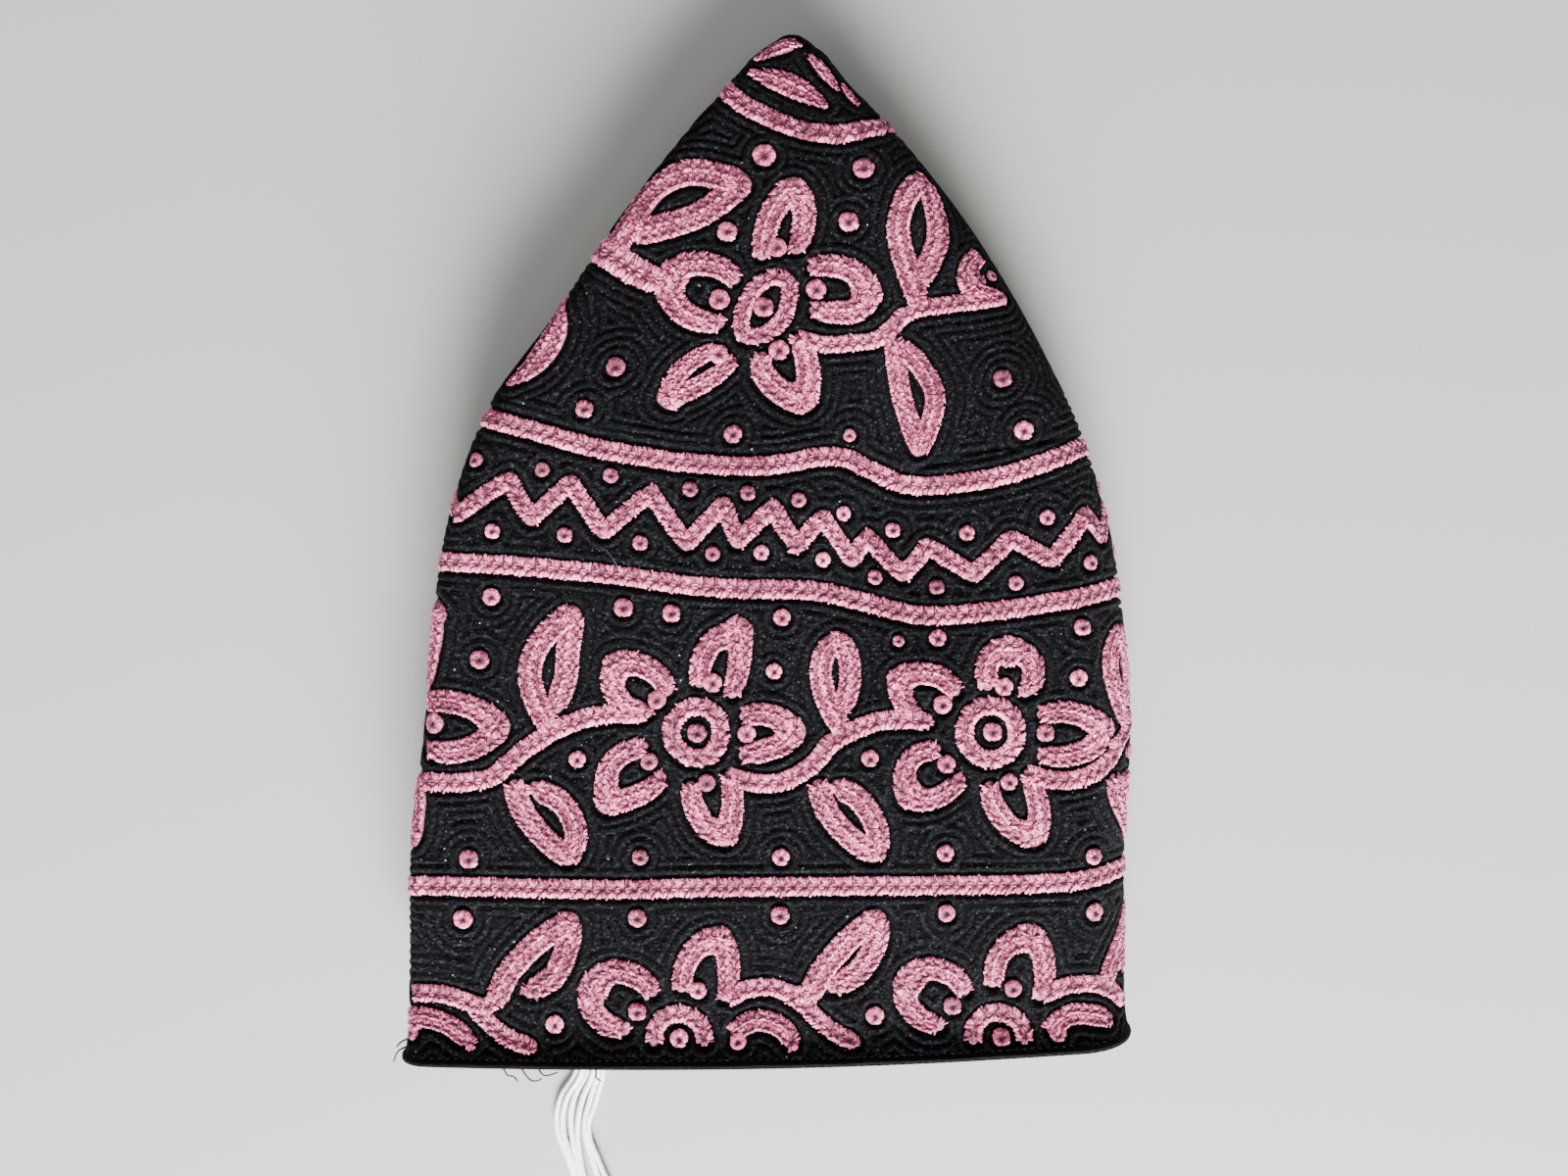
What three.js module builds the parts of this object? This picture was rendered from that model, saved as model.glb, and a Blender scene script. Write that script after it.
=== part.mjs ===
// A brimless prayer cap of quilted black cotton: a round crown sewn to an upright side wall,
// whose lower edge is bound with a folded tape. It lies on a flat surface folded in four, as
// such a cap is stored: pressed flat and then closed like a book. The hem points to -Y, the
// middle of the crown to +Y, the thick spine of the fold is on the right (+X) and the two
// open folds are on the left. Millimetres, +Z up, with the origin under the cap's middle.
import * as THREE from "three";

// Driving sizes
const CLOTH = 1.6; // quilted cotton with its backing
const TAPE = 1.0; // tape that binds the hem
const PIECE_GAP = 0.3; // between pieces that are sewn together
const TAPE_HEIGHT = 4.8; // how far the tape reaches up the wall, outside and inside
const TAPE_CORNER = 0.6; // rounding of the tape where it turns under the wall's edge
const WALL_HEIGHT = 119.6; // from the hem to the seam under the crown
const CROWN_REACH = 89.4; // from that seam to the middle of the crown, along the cloth
const INNER_SETBACK = 17; // from the outer spine's edge to the inner spine's edge
const UNDER_INSET = 3; // the lower fold lies this far inside the upper one
const DOME = 1.2; // how far the top layer swells in its middle
const HEM_RELIEF = [5, 12]; // the cloth comes down from the tape's underside over this stretch
const THREAD_BUNDLE = 2.4; // diameter of the bundle of loose threads

// The cloth, level by level. up is the distance up the cloth from the hem. left and right are
// the folded edges. yLeft, yMid and yRight say how far along the cap the level lies at its
// left edge, middle and right edge. raise lifts the level off the surface. pocket is the
// pitch of the two layers of a pair, with the inside of the cap between them. slit is the
// pitch of the two pairs. round is 0 where the cloth is folded and 1 where it closes in a knob.
const LEVELS = [
  { up: 0, left: -73.4, right: 68.2, yLeft: -92.5, yMid: -92.4, yRight: -89.5, raise: 0, pocket: 8.7, slit: 5, round: 0 },
  { up: 36.5, left: -73.5, right: 68.3, yLeft: -58.5, yMid: -57.2, yRight: -55.6, raise: 0, pocket: 8.8, slit: 4.6, round: 0 },
  { up: 65.6, left: -70.6, right: 69.6, yLeft: -27.8, yMid: -28.1, yRight: -27.6, raise: 0, pocket: 8.8, slit: 4.6, round: 0 },
  { up: 93.7, left: -67.5, right: 67.2, yLeft: 5.2, yMid: -0.6, yRight: 1.8, raise: 0, pocket: 8.8, slit: 4.6, round: 0 },
  { up: 117.5, left: -58.9, right: 60.8, yLeft: 34, yMid: 23.2, yRight: 28.4, raise: 0, pocket: 8.8, slit: 4.6, round: 0 },
  { up: 140, left: -45.3, right: 51.2, yLeft: 53.7, yMid: 43.4, yRight: 49.7, raise: 0, pocket: 8.7, slit: 4.4, round: 0 },
  { up: 162.5, left: -31.3, right: 38.2, yLeft: 74.5, yMid: 64, yRight: 71.4, raise: 1.6, pocket: 8, slit: 4, round: 0 },
  { up: 185, left: -15.9, right: 21.8, yLeft: 94.1, yMid: 85.6, yRight: 92.3, raise: 5, pocket: 6.2, slit: 3.2, round: 0 },
  { up: 198.5, left: -6.4, right: 11.4, yLeft: 105.6, yMid: 101.2, yRight: 103.4, raise: 7.4, pocket: 4, slit: 2.4, round: 0 },
  { up: 204, left: -3.4, right: 8, yLeft: 109.2, yMid: 107.2, yRight: 107.8, raise: 8.6, pocket: 3.2, slit: 1.9, round: 0.6 },
  { up: 207, left: -1.6, right: 5, yLeft: 110.8, yMid: 110.4, yRight: 110.4, raise: 9.8, pocket: 2.2, slit: 1.4, round: 1 },
  { up: 209, left: 0.6, right: 2.6, yLeft: 112, yMid: 112, yRight: 112, raise: 12, pocket: 0.8, slit: 0.4, round: 1 },
];

// Soft dents and swells of the top layer. along runs from 0 at the left fold to 1 at the
// spine. lift is the height and slide is how far the cloth is drawn along the cap.
const DENTS = [
  { name: "swell beside the dent", along: 0.54, up: 110, spanAlong: 0.07, spanUp: 24, lift: 2, slide: 1.5 },
  { name: "dent under the crown", along: 0.73, up: 112, spanAlong: 0.08, spanUp: 22, lift: -3.6, slide: -2.6 },
  { name: "slack of the crown", along: 0.3, up: 150, spanAlong: 0.16, spanUp: 20, lift: 1.2, slide: 0 },
  { name: "hollow of the wall", along: 0.32, up: 62, spanAlong: 0.2, spanUp: 24, lift: -1, slide: 0 },
  { name: "swell of the wall", along: 0.72, up: 48, spanAlong: 0.18, spanUp: 26, lift: 1, slide: 0 },
];

// Heights up the cloth at which the pieces have a row of facets
const WALL_ROWS = [8, 13, 22, 34, 46, 58, 70, 80, 88, 95, 101, 107, 112, 116];
const CROWN_ROWS = [124, 131, 139, 148, 157, 166, 175, 183, 190, 195, 198.5, 201.5, 204, 205.8];
const KNOB_ROW = 207; // the last row, where the cloth closes in the middle of the crown

// Facets along each straight layer and round each fold of a section
const FACETS = { topLayer: 10, hiddenLayer: 6, spine: 8, innerSpine: 4, fold: 6 };
const SLIT_ARC = THREE.MathUtils.degToRad(30); // share of the round knob left to the slit

const smooth = THREE.MathUtils.smoothstep;
const mix = THREE.MathUtils.lerp;
const bell = (distance, span) => Math.exp(-0.5 * (distance / span) ** 2);

// Slope of a column at a level: it keeps a flat stretch flat and never overshoots.
function slopeAt(i, column) {
  if (i === 0 || i === LEVELS.length - 1) return 0;
  const [a, b, c] = [LEVELS[i - 1], LEVELS[i], LEVELS[i + 1]];
  const before = (b[column] - a[column]) / (b.up - a.up);
  const after = (c[column] - b[column]) / (c.up - b.up);
  return before * after > 0 ? (2 * before * after) / (before + after) : 0;
}

// The table's columns at any height up the cloth.
function levelAt(up) {
  const found = LEVELS.findIndex((row) => row.up >= up);
  const i = Math.max(1, found < 0 ? LEVELS.length - 1 : found);
  const [low, high] = [LEVELS[i - 1], LEVELS[i]];
  const step = high.up - low.up;
  const s = THREE.MathUtils.clamp((up - low.up) / step, 0, 1);
  const level = {};
  for (const column of Object.keys(low)) {
    level[column] =
      low[column] * (2 * s ** 3 - 3 * s ** 2 + 1) +
      high[column] * (3 * s ** 2 - 2 * s ** 3) +
      slopeAt(i - 1, column) * step * (s ** 3 - 2 * s ** 2 + s) +
      slopeAt(i, column) * step * (s ** 3 - s ** 2);
  }
  return level;
}

// The four folds of a section and the heights of its layers, at the middle of the cloth.
function foldsOf(level) {
  const tapeLift = TAPE + PIECE_GAP;
  const bottom = CLOTH / 2 + level.raise + tapeLift * (1 - smooth(level.up, ...HEM_RELIEF));
  const underPair = bottom + level.pocket;
  const overPair = underPair + level.slit;
  const top = overPair + level.pocket;
  const shrink = Math.min(1, level.slit / LEVELS[3].slit); // the insets close up towards the crown
  const turn = (low, high, edge, side) => {
    const radius = (high - low) / 2;
    return { x: edge - side * radius, z: (low + high) / 2, radius };
  };
  return {
    upper: turn(overPair, top, level.left, -1),
    lower: turn(bottom, underPair, level.left + UNDER_INSET * shrink ** 2, -1),
    spine: turn(bottom, top, level.right, 1),
    inner: turn(underPair, overPair, level.right - INNER_SETBACK * shrink ** 2, 1),
  };
}

// One section of the cloth's middle surface: a closed loop of points, each with the direction
// that points out of the cap. It runs along the top layer, round the spine, back along the
// bottom layer, and then in and out of the slit between the pairs.
function sectionLoop(level) {
  const { upper, lower, spine, inner } = foldsOf(level);
  const points = [];
  const run = (from, to, fromZ, toZ, facets, outZ, isTop) => {
    for (let k = 0; k < facets; k++) {
      const s = k / facets;
      points.push({ x: mix(from, to, s), z: mix(fromZ, toZ, s), outX: 0, outZ, along: isTop ? s : null });
    }
  };
  const round = (fold, start, sweep, facets, out) => {
    for (let k = 0; k < facets; k++) {
      const angle = start + (sweep * k) / facets;
      const [c, s] = [Math.cos(angle), Math.sin(angle)];
      points.push({ x: fold.x + fold.radius * c, z: fold.z + fold.radius * s, outX: out * c, outZ: out * s, along: null });
    }
  };
  const [topOf, under] = [(fold) => fold.z + fold.radius, (fold) => fold.z - fold.radius];
  run(upper.x, spine.x, topOf(upper), topOf(spine), FACETS.topLayer, 1, true);
  round(spine, Math.PI / 2, -Math.PI, FACETS.spine, 1);
  run(spine.x, lower.x, under(spine), under(lower), FACETS.hiddenLayer, -1, false);
  const slitStart = points.length;
  round(lower, -Math.PI / 2, -Math.PI, FACETS.fold, 1);
  run(lower.x, inner.x, topOf(lower), under(inner), FACETS.hiddenLayer, 1, false);
  round(inner, -Math.PI / 2, Math.PI, FACETS.innerSpine, -1);
  run(inner.x, upper.x, topOf(inner), under(upper), FACETS.hiddenLayer, -1, false);
  round(upper, -Math.PI / 2, -Math.PI, FACETS.fold, 1);
  return level.round > 0 ? roundedLoop(points, level, spine, slitStart) : points;
}

// Draws a folded section towards a plain oval, which is how the cloth closes at the crown's
// middle. The points of the slit gather at the oval's left end.
function roundedLoop(points, level, spine, slitStart) {
  const centre = (level.left + level.right) / 2;
  const halfWidth = (level.right - level.left) / 2;
  return points.map((point, k) => {
    const outerShare = Math.min(1, k / slitStart);
    const slitShare = Math.max(0, (k - slitStart) / (points.length - slitStart));
    const angle = Math.PI - SLIT_ARC / 2 - outerShare * (2 * Math.PI - SLIT_ARC) - slitShare * SLIT_ARC;
    const [c, s] = [Math.cos(angle), Math.sin(angle)];
    const out = new THREE.Vector2(
      mix(point.outX, c, level.round),
      mix(point.outZ, s, level.round),
    ).normalize();
    return {
      x: mix(point.x, centre + halfWidth * c, level.round),
      z: mix(point.z, spine.z + spine.radius * s, level.round),
      outX: out.x,
      outZ: out.y,
      along: point.along,
    };
  });
}

// How far along the cap a point at x on a level lies: a curve through the level's three marks.
function yAt(level, x) {
  const p = (x - level.left) / (level.right - level.left);
  return (
    level.yLeft * (1 - p) * (1 - 2 * p) + level.yMid * 4 * p * (1 - p) + level.yRight * p * (2 * p - 1)
  );
}

// Lift and slide of the top layer at a point: its dents, swells and dome.
function dentAt(along, level) {
  if (along === null) return { lift: 0, slide: 0 };
  const edge = Math.sin(Math.PI * along);
  const foldedShare = 1 - level.round;
  const dent = { lift: DOME * edge * smooth(level.slit, 2.6, 4.4), slide: 0 };
  for (const row of DENTS) {
    const share =
      bell(along - row.along, row.spanAlong) * bell(level.up - row.up, row.spanUp) *
      Math.min(1, 2 * edge) * foldedShare;
    dent.lift += row.lift * share;
    dent.slide += row.slide * share;
  }
  return dent;
}

// A loop of the cap at a height up the cloth, the given distance outside its middle surface.
function loopAt(up, offset) {
  const level = levelAt(up);
  return sectionLoop(level).map((point) => {
    const { lift, slide } = dentAt(point.along, level);
    return new THREE.Vector3(
      point.x + offset * point.outX,
      yAt(level, point.x) + slide,
      point.z + offset * point.outZ + lift,
    );
  });
}

// The middle point of a level, where a skin closes.
function knobPoint(up, rise) {
  const level = levelAt(up);
  const { spine } = foldsOf(level);
  return new THREE.Vector3((level.left + level.right) / 2, level.yMid + rise, spine.z);
}

// Skins a list of loops in order. Either the last loop joins the first, or the skin starts
// and ends in a point.
function skin(loops, startPoint = null, endPoint = null) {
  const count = loops[0].length;
  const vertices = loops.flat();
  const faces = [];
  const bands = startPoint ? loops.length - 1 : loops.length;
  for (let i = 0; i < bands; i++) {
    const [a, b] = [i * count, ((i + 1) % loops.length) * count];
    for (let k = 0; k < count; k++) {
      const next = (k + 1) % count;
      faces.push(a + k, b + k, b + next, a + k, b + next, a + next);
    }
  }
  if (startPoint) {
    const [first, last] = [vertices.length, vertices.length + 1];
    const lastLoop = (loops.length - 1) * count;
    vertices.push(startPoint, endPoint);
    for (let k = 0; k < count; k++) {
      const next = (k + 1) % count;
      faces.push(first, k, next, last, lastLoop + next, lastLoop + k);
    }
  }
  return new THREE.BufferGeometry().setFromPoints(vertices).setIndex(faces);
}

const cloth = (color) => new THREE.MeshStandardMaterial({ color, roughness: 0.95, metalness: 0 });

function namedMesh(name, geometry, material) {
  const mesh = new THREE.Mesh(geometry, material);
  mesh.name = name;
  return mesh;
}

// The side wall: a straight strip closed by an upright seam, from the hem to the crown.
function sideWall() {
  const lowEdge = TAPE + PIECE_GAP;
  const highEdge = WALL_HEIGHT - PIECE_GAP / 2;
  const rows = [lowEdge, ...WALL_ROWS, highEdge];
  const outside = rows.map((up) => loopAt(up, CLOTH / 2)).reverse();
  const inside = rows.map((up) => loopAt(up, -CLOTH / 2));
  return namedMesh("side_wall", skin([...outside, ...inside]), cloth(0x17181c));
}

// The crown: a disc of the same cloth, which closes in a knob at the tip of the folded cap.
function crown() {
  const rows = [WALL_HEIGHT + PIECE_GAP / 2, ...CROWN_ROWS, KNOB_ROW];
  const outside = rows.map((up) => loopAt(up, CLOTH / 2)).reverse();
  const inside = rows.map((up) => loopAt(up, -CLOTH / 2));
  const tip = knobPoint(WALL_HEIGHT + CROWN_REACH, CLOTH / 2);
  const innerTip = knobPoint(KNOB_ROW, CLOTH / 4);
  return namedMesh("crown", skin([...outside, ...inside], tip, innerTip), cloth(0x17181c));
}

// The hem tape: folded round the wall's lower edge, outside, under and inside.
function hemTape() {
  const near = CLOTH / 2 + PIECE_GAP;
  const far = near + TAPE;
  const profile = [
    [TAPE_HEIGHT, far],
    [TAPE_CORNER, far],
    [0, far - TAPE_CORNER],
    [0, TAPE_CORNER - far],
    [TAPE_CORNER, -far],
    [TAPE_HEIGHT, -far],
    [TAPE_HEIGHT, -near],
    [TAPE, -near],
    [TAPE, near],
    [TAPE_HEIGHT, near],
  ];
  const loops = profile.map(([up, offset]) => loopAt(up, offset));
  return namedMesh("hem_tape", skin(loops), cloth(0x101216));
}

// Loose white threads that lie in the mouth of the cap and run out over the hem.
function looseThreads() {
  const route = [
    { x: -40.5, y: -76, z: 3.2 },
    { x: -41, y: -83, z: 3.8 },
    { x: -42, y: -88, z: 5.9 },
    { x: -43, y: -93.5, z: 5.9 },
    { x: -44.2, y: -99, z: 2.6 },
    { x: -45.2, y: -104, z: 1.25 },
    { x: -46, y: -110, z: 1.25 },
    { x: -45.2, y: -116, z: 1.25 },
    { x: -42.6, y: -123, z: 1.25 },
    { x: -40, y: -130, z: 1.25 },
  ].map((p) => new THREE.Vector3(p.x, p.y, p.z));
  const outline = new THREE.Shape().absarc(0, 0, THREAD_BUNDLE / 2, 0, 2 * Math.PI);
  const geometry = new THREE.ExtrudeGeometry(outline, {
    extrudePath: new THREE.CatmullRomCurve3(route),
    steps: 18,
    curveSegments: 4,
    bevelEnabled: false,
  });
  return namedMesh("loose_threads", geometry, cloth(0xe9e8e2));
}

// The cap stands centred over the origin. The threads reach past it.
const capPieces = [crown(), sideWall(), hemTape()];
const group = new THREE.Group().add(...capPieces);
const box = new THREE.Box3().setFromObject(group, true);
const centre = box.getCenter(new THREE.Vector3());
group.add(looseThreads());
group.position.set(-centre.x, -centre.y, -box.min.z);

export default group;
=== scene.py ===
import math

import bmesh
import bpy
import numpy as np
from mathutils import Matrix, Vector
from mathutils.kdtree import KDTree


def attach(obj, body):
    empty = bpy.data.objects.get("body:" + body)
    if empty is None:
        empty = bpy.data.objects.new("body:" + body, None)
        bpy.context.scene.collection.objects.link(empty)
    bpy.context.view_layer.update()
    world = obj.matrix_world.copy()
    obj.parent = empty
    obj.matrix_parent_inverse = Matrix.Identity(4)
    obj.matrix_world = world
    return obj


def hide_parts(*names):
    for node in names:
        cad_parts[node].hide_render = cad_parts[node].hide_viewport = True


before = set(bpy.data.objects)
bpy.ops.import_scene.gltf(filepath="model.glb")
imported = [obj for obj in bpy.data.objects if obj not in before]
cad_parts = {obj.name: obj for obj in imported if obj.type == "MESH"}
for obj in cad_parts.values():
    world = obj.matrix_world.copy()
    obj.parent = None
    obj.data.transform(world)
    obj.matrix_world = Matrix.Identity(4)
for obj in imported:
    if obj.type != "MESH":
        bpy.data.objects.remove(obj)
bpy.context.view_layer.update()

# Camera: the photograph looks straight down on the cap from about a quarter of a metre.
# The photo's middle lies over this point of the floor.
MM = 0.001
VIEW_X, VIEW_Y, VIEW_HEIGHT = 2.594, -10.0, 254.0
VIEW_ANGLE = math.radians(67.3)
PHOTO_WIDTH, PHOTO_HEIGHT = 1600, 1200

camera_data = bpy.data.cameras.new("camera")
camera_data.sensor_width = 36
camera_data.lens = 18 / math.tan(VIEW_ANGLE / 2)
camera_data.clip_start = 0.01
camera = bpy.data.objects.new("camera", camera_data)
camera.location = (VIEW_X * MM, VIEW_Y * MM, VIEW_HEIGHT * MM)
bpy.context.collection.objects.link(camera)
bpy.context.scene.camera = camera

# Loose threads: a few strands of soft white cotton yarn that lie in the mouth of the cap,
# hang out over the hem and run along the floor. Each is a plain thread with two bare ends.
BUNDLE_ROUTE = [  # the bundle's middle line in mm, as the solid has it
    (-37.9, -86.0, 3.2), (-38.4, -93.0, 3.8), (-39.4, -98.0, 5.9), (-40.4, -103.5, 5.9),
    (-41.6, -109.0, 2.6), (-42.6, -114.0, 1.25), (-43.4, -120.0, 1.25), (-42.6, -126.0, 1.25),
    (-40.0, -133.0, 1.25), (-37.4, -140.0, 1.25),
]
STRAND_STATIONS = [0, 0.3, 0.55, 0.66, 0.78, 0.89, 1]
STRANDS = [  # how far each strand lies to the right of the bundle's middle, station by station
    {"aside": [-1.0, 0.3, 0.6, -2.2, -3.6, -3.7, -4.0], "lift": 0.0, "thick": 1.15},
    {"aside": [-0.6, 1.1, 1.8, -0.8, -2.3, -2.8, -3.4], "lift": 0.7, "thick": 1.2},
    {"aside": [-0.2, 1.9, 3.0, 0.8, -0.6, -1.9, -2.8], "lift": 0.1, "thick": 1.15},
    {"aside": [0.2, 2.7, 4.2, 2.7, 0.8, -1.1, -2.2], "lift": 0.9, "thick": 1.15},
    {"aside": [0.6, 3.5, 5.3, 4.4, 2.3, 1.5, 1.0], "lift": 0.2, "thick": 1.2},
    {"aside": [1.0, 4.2, 6.3, 5.7, 3.1, 2.8, 3.2], "lift": 0.6, "thick": 1.15},
]
HEM_STATIONS = [0, 0.17, 0.2, 0.36, 0.42, 1]
HEM_CLEARANCE = [2.2, 2.5, 4.9, 4.9, 0.5, 0.5]  # the least height of a strand at each of these


def cloth_material(name, color, roughness=0.95, sheen=0.0, sheen_tint=(1, 1, 1, 1)):
    """A matt fabric, with its own colour, roughness and sheen on the shader's sockets."""
    material = bpy.data.materials.new(name)
    material.use_nodes = True
    shader = material.node_tree.nodes["Principled BSDF"]
    shader.inputs["Base Color"].default_value = (*color, 1)
    shader.inputs["Roughness"].default_value = roughness
    shader.inputs["Specular IOR Level"].default_value = 0.25
    shader.inputs["Sheen Weight"].default_value = sheen
    shader.inputs["Sheen Roughness"].default_value = 0.5
    shader.inputs["Sheen Tint"].default_value = sheen_tint
    return material, shader


def join_nodes(material, source, target):
    material.node_tree.links.new(source, target)


def noise_node(material, coords, scale, detail=3.0):
    """The strength of a noise on the given coordinates, at so many repeats to the metre."""
    noise = material.node_tree.nodes.new("ShaderNodeTexNoise")
    noise.inputs["Scale"].default_value = scale
    noise.inputs["Detail"].default_value = detail
    join_nodes(material, coords, noise.inputs["Vector"])
    return noise.outputs["Fac"]


def object_coords(material):
    return material.node_tree.nodes.new("ShaderNodeTexCoord").outputs["Object"]


def ramp_node(material, source, stops):
    """The colour of a ramp over a factor, from (position, colour) pairs."""
    ramp = material.node_tree.nodes.new("ShaderNodeValToRGB")
    elements = ramp.color_ramp.elements
    while len(elements) < len(stops):
        elements.new(0.5)
    for element, (position, color) in zip(elements, stops):
        element.position = position
        element.color = (*color, 1)
    join_nodes(material, source, ramp.inputs["Fac"])
    return ramp.outputs["Color"]


def color_by(material, shader, source, stops):
    """Gives a fabric its own colours along a ramp."""
    join_nodes(material, ramp_node(material, source, stops), shader.inputs["Base Color"])


def bump_node(material, shader, height, distance, strength=1.0, before=None):
    """A bump of the given height in metres, on top of an earlier one if there is one."""
    bump = material.node_tree.nodes.new("ShaderNodeBump")
    bump.inputs["Strength"].default_value = strength
    bump.inputs["Distance"].default_value = distance
    join_nodes(material, height, bump.inputs["Height"])
    if before is not None:
        join_nodes(material, before.outputs["Normal"], bump.inputs["Normal"])
    join_nodes(material, bump.outputs["Normal"], shader.inputs["Normal"])
    return bump


def add_piece(data):
    """Puts a mesh or curve in the scene, as a piece of the cap with the same name."""
    piece = bpy.data.objects.new(data.name, data)
    bpy.context.collection.objects.link(piece)
    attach(piece, "root")
    return piece


def thread_curve(name, radius, sides, steps, material):
    """A round thread, which still has no line to follow."""
    data = bpy.data.curves.new(name, "CURVE")
    data.dimensions = "3D"
    data.bevel_depth = radius * MM
    data.bevel_resolution = sides
    data.resolution_u = steps
    data.materials.append(material)
    return data


def white_yarn():
    """Soft white cotton with a faint twist."""
    material, shader = cloth_material("white_yarn", (0.82, 0.81, 0.77), 0.8, 0.3)
    coords = object_coords(material)
    twist = noise_node(material, coords, 1800, 2)
    color_by(material, shader, twist, [(0.3, (0.6, 0.59, 0.55)), (0.55, (0.93, 0.92, 0.88))])
    bump_node(material, shader, twist, 0.0002)
    return material


yarn = white_yarn()
bundle = np.array(BUNDLE_ROUTE)
for number, strand in enumerate(STRANDS, 1):
    share = np.linspace(0, 1, len(bundle))
    aside = np.interp(share, STRAND_STATIONS, strand["aside"])
    radius = strand["thick"] / 2
    over_hem = np.interp(share, HEM_STATIONS, HEM_CLEARANCE)
    height = np.maximum(radius + 0.05 + strand["lift"] * (1 - 0.6 * share), over_hem)
    points = np.column_stack([bundle[:, 0] + aside, bundle[:, 1], height])
    data = thread_curve(f"white_thread_{number}", radius, 3, 8, yarn)
    data.use_fill_caps = True
    spline = data.splines.new("BEZIER")
    spline.bezier_points.add(len(points) - 1)
    for knot, point in zip(spline.bezier_points, points):
        knot.co = Vector(point) * MM
        knot.handle_left_type = knot.handle_right_type = "AUTO"
    thread = add_piece(data)
    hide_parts("loose_threads")


# Side wall: a straight strip of quilted black cotton, closed by an upright seam. The cap was
# pressed flat and closed like a book, so the wall has four layers with a thick spine on the
# right. A place on the cloth is named by its share of the way round, and its height in mm.
CLOTH = 1.6
TAPE = 1.0
PIECE_GAP = 0.3
TAPE_HEIGHT = 4.8
WALL_HEIGHT = 119.6
INNER_SETBACK = 17
UNDER_INSET = 3
CLOTH_ROUND = 552  # the cloth's length round the wall
TOP_MIDDLE = 0.11  # the share at the middle of the top layer
TIP_HEIGHT = 208.9
DOME = 1.2  # how far the top layer's middle stands up
DOME_SLITS = (2.6, 4.4)
HEM_RELIEF = (5, 12)
HEM_SWELL = 0.5  # the wall's outside bulges a little just above the tape
HEM_SWELL_REACH = 11
FULL_SLIT = 4.6  # between the two pairs of layers, where the fold is at its thickest
SLIT_ARC = math.radians(30)
LEVEL_COLUMNS = ["up", "left", "right", "y_left", "y_mid", "y_right", "raise", "pocket", "slit", "round"]
LEVELS = np.array([  # the same levels as the solids have
    [0, -73.4, 68.2, -92.5, -92.4, -89.5, 0, 8.7, 5, 0],
    [36.5, -73.5, 68.3, -58.5, -57.2, -55.6, 0, 8.8, 4.6, 0],
    [65.6, -70.6, 69.6, -27.8, -28.1, -27.6, 0, 8.8, 4.6, 0],
    [93.7, -67.5, 67.2, 5.2, -0.6, 1.8, 0, 8.8, 4.6, 0],
    [117.5, -58.9, 60.8, 34, 23.2, 28.4, 0, 8.8, 4.6, 0],
    [140, -45.3, 51.2, 53.7, 43.4, 49.7, 0, 8.7, 4.4, 0],
    [162.5, -31.3, 38.2, 74.5, 64, 71.4, 1.6, 8, 4, 0],
    [185, -15.9, 21.8, 94.1, 85.6, 92.3, 5, 6.2, 3.2, 0],
    [198.5, -6.4, 11.4, 105.6, 101.2, 103.4, 7.4, 4, 2.4, 0],
    [204, -3.4, 8, 109.2, 107.2, 107.8, 8.6, 3.2, 1.9, 0.6],
    [207, -1.6, 5, 110.8, 110.4, 110.4, 9.8, 2.2, 1.4, 1],
    [209, 0.6, 2.6, 112, 112, 112, 12, 0.8, 0.4, 1],
])
DENTS = [  # along, up, span along, span up, lift, slide
    (0.54, 110, 0.07, 24, 2, 1.5),
    (0.73, 112, 0.08, 22, -3.6, -2.6),
    (0.3, 150, 0.16, 20, 1.2, 0),
    (0.32, 62, 0.2, 24, -1, 0),
    (0.72, 48, 0.18, 26, 1, 0),
]


def smooth(value, low, high):
    """From 0 at the low value to 1 at the high one, with soft ends."""
    s = np.clip((value - low) / (high - low), 0, 1)
    return s * s * (3 - 2 * s)


def level_slopes():
    """The slope of each column at each level: flat stretches stay flat, nothing overshoots."""
    slopes = np.zeros_like(LEVELS)
    before = np.diff(LEVELS, axis=0)[:-1] / np.diff(LEVELS[:, 0])[:-1, None]
    after = np.diff(LEVELS, axis=0)[1:] / np.diff(LEVELS[:, 0])[1:, None]
    agree = before * after > 0
    total = np.where(agree, before + after, 1)
    slopes[1:-1] = np.where(agree, 2 * before * after / total, 0)
    return slopes


LEVEL_SLOPES = level_slopes()


def level_at(up):
    """The level's columns at any height up the cloth."""
    i = np.clip(np.searchsorted(LEVELS[:, 0], up), 1, len(LEVELS) - 1)
    low, high = LEVELS[i - 1], LEVELS[i]
    step = (high - low)[..., :1]
    s = np.clip((np.asarray(up)[..., None] - low[..., :1]) / step, 0, 1)
    value = (
        low * (2 * s**3 - 3 * s**2 + 1)
        + high * (3 * s**2 - 2 * s**3)
        + LEVEL_SLOPES[i - 1] * step * (s**3 - 2 * s**2 + s)
        + LEVEL_SLOPES[i] * step * (s**3 - s**2)
    )
    return {name: value[..., k] for k, name in enumerate(LEVEL_COLUMNS)}


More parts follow.
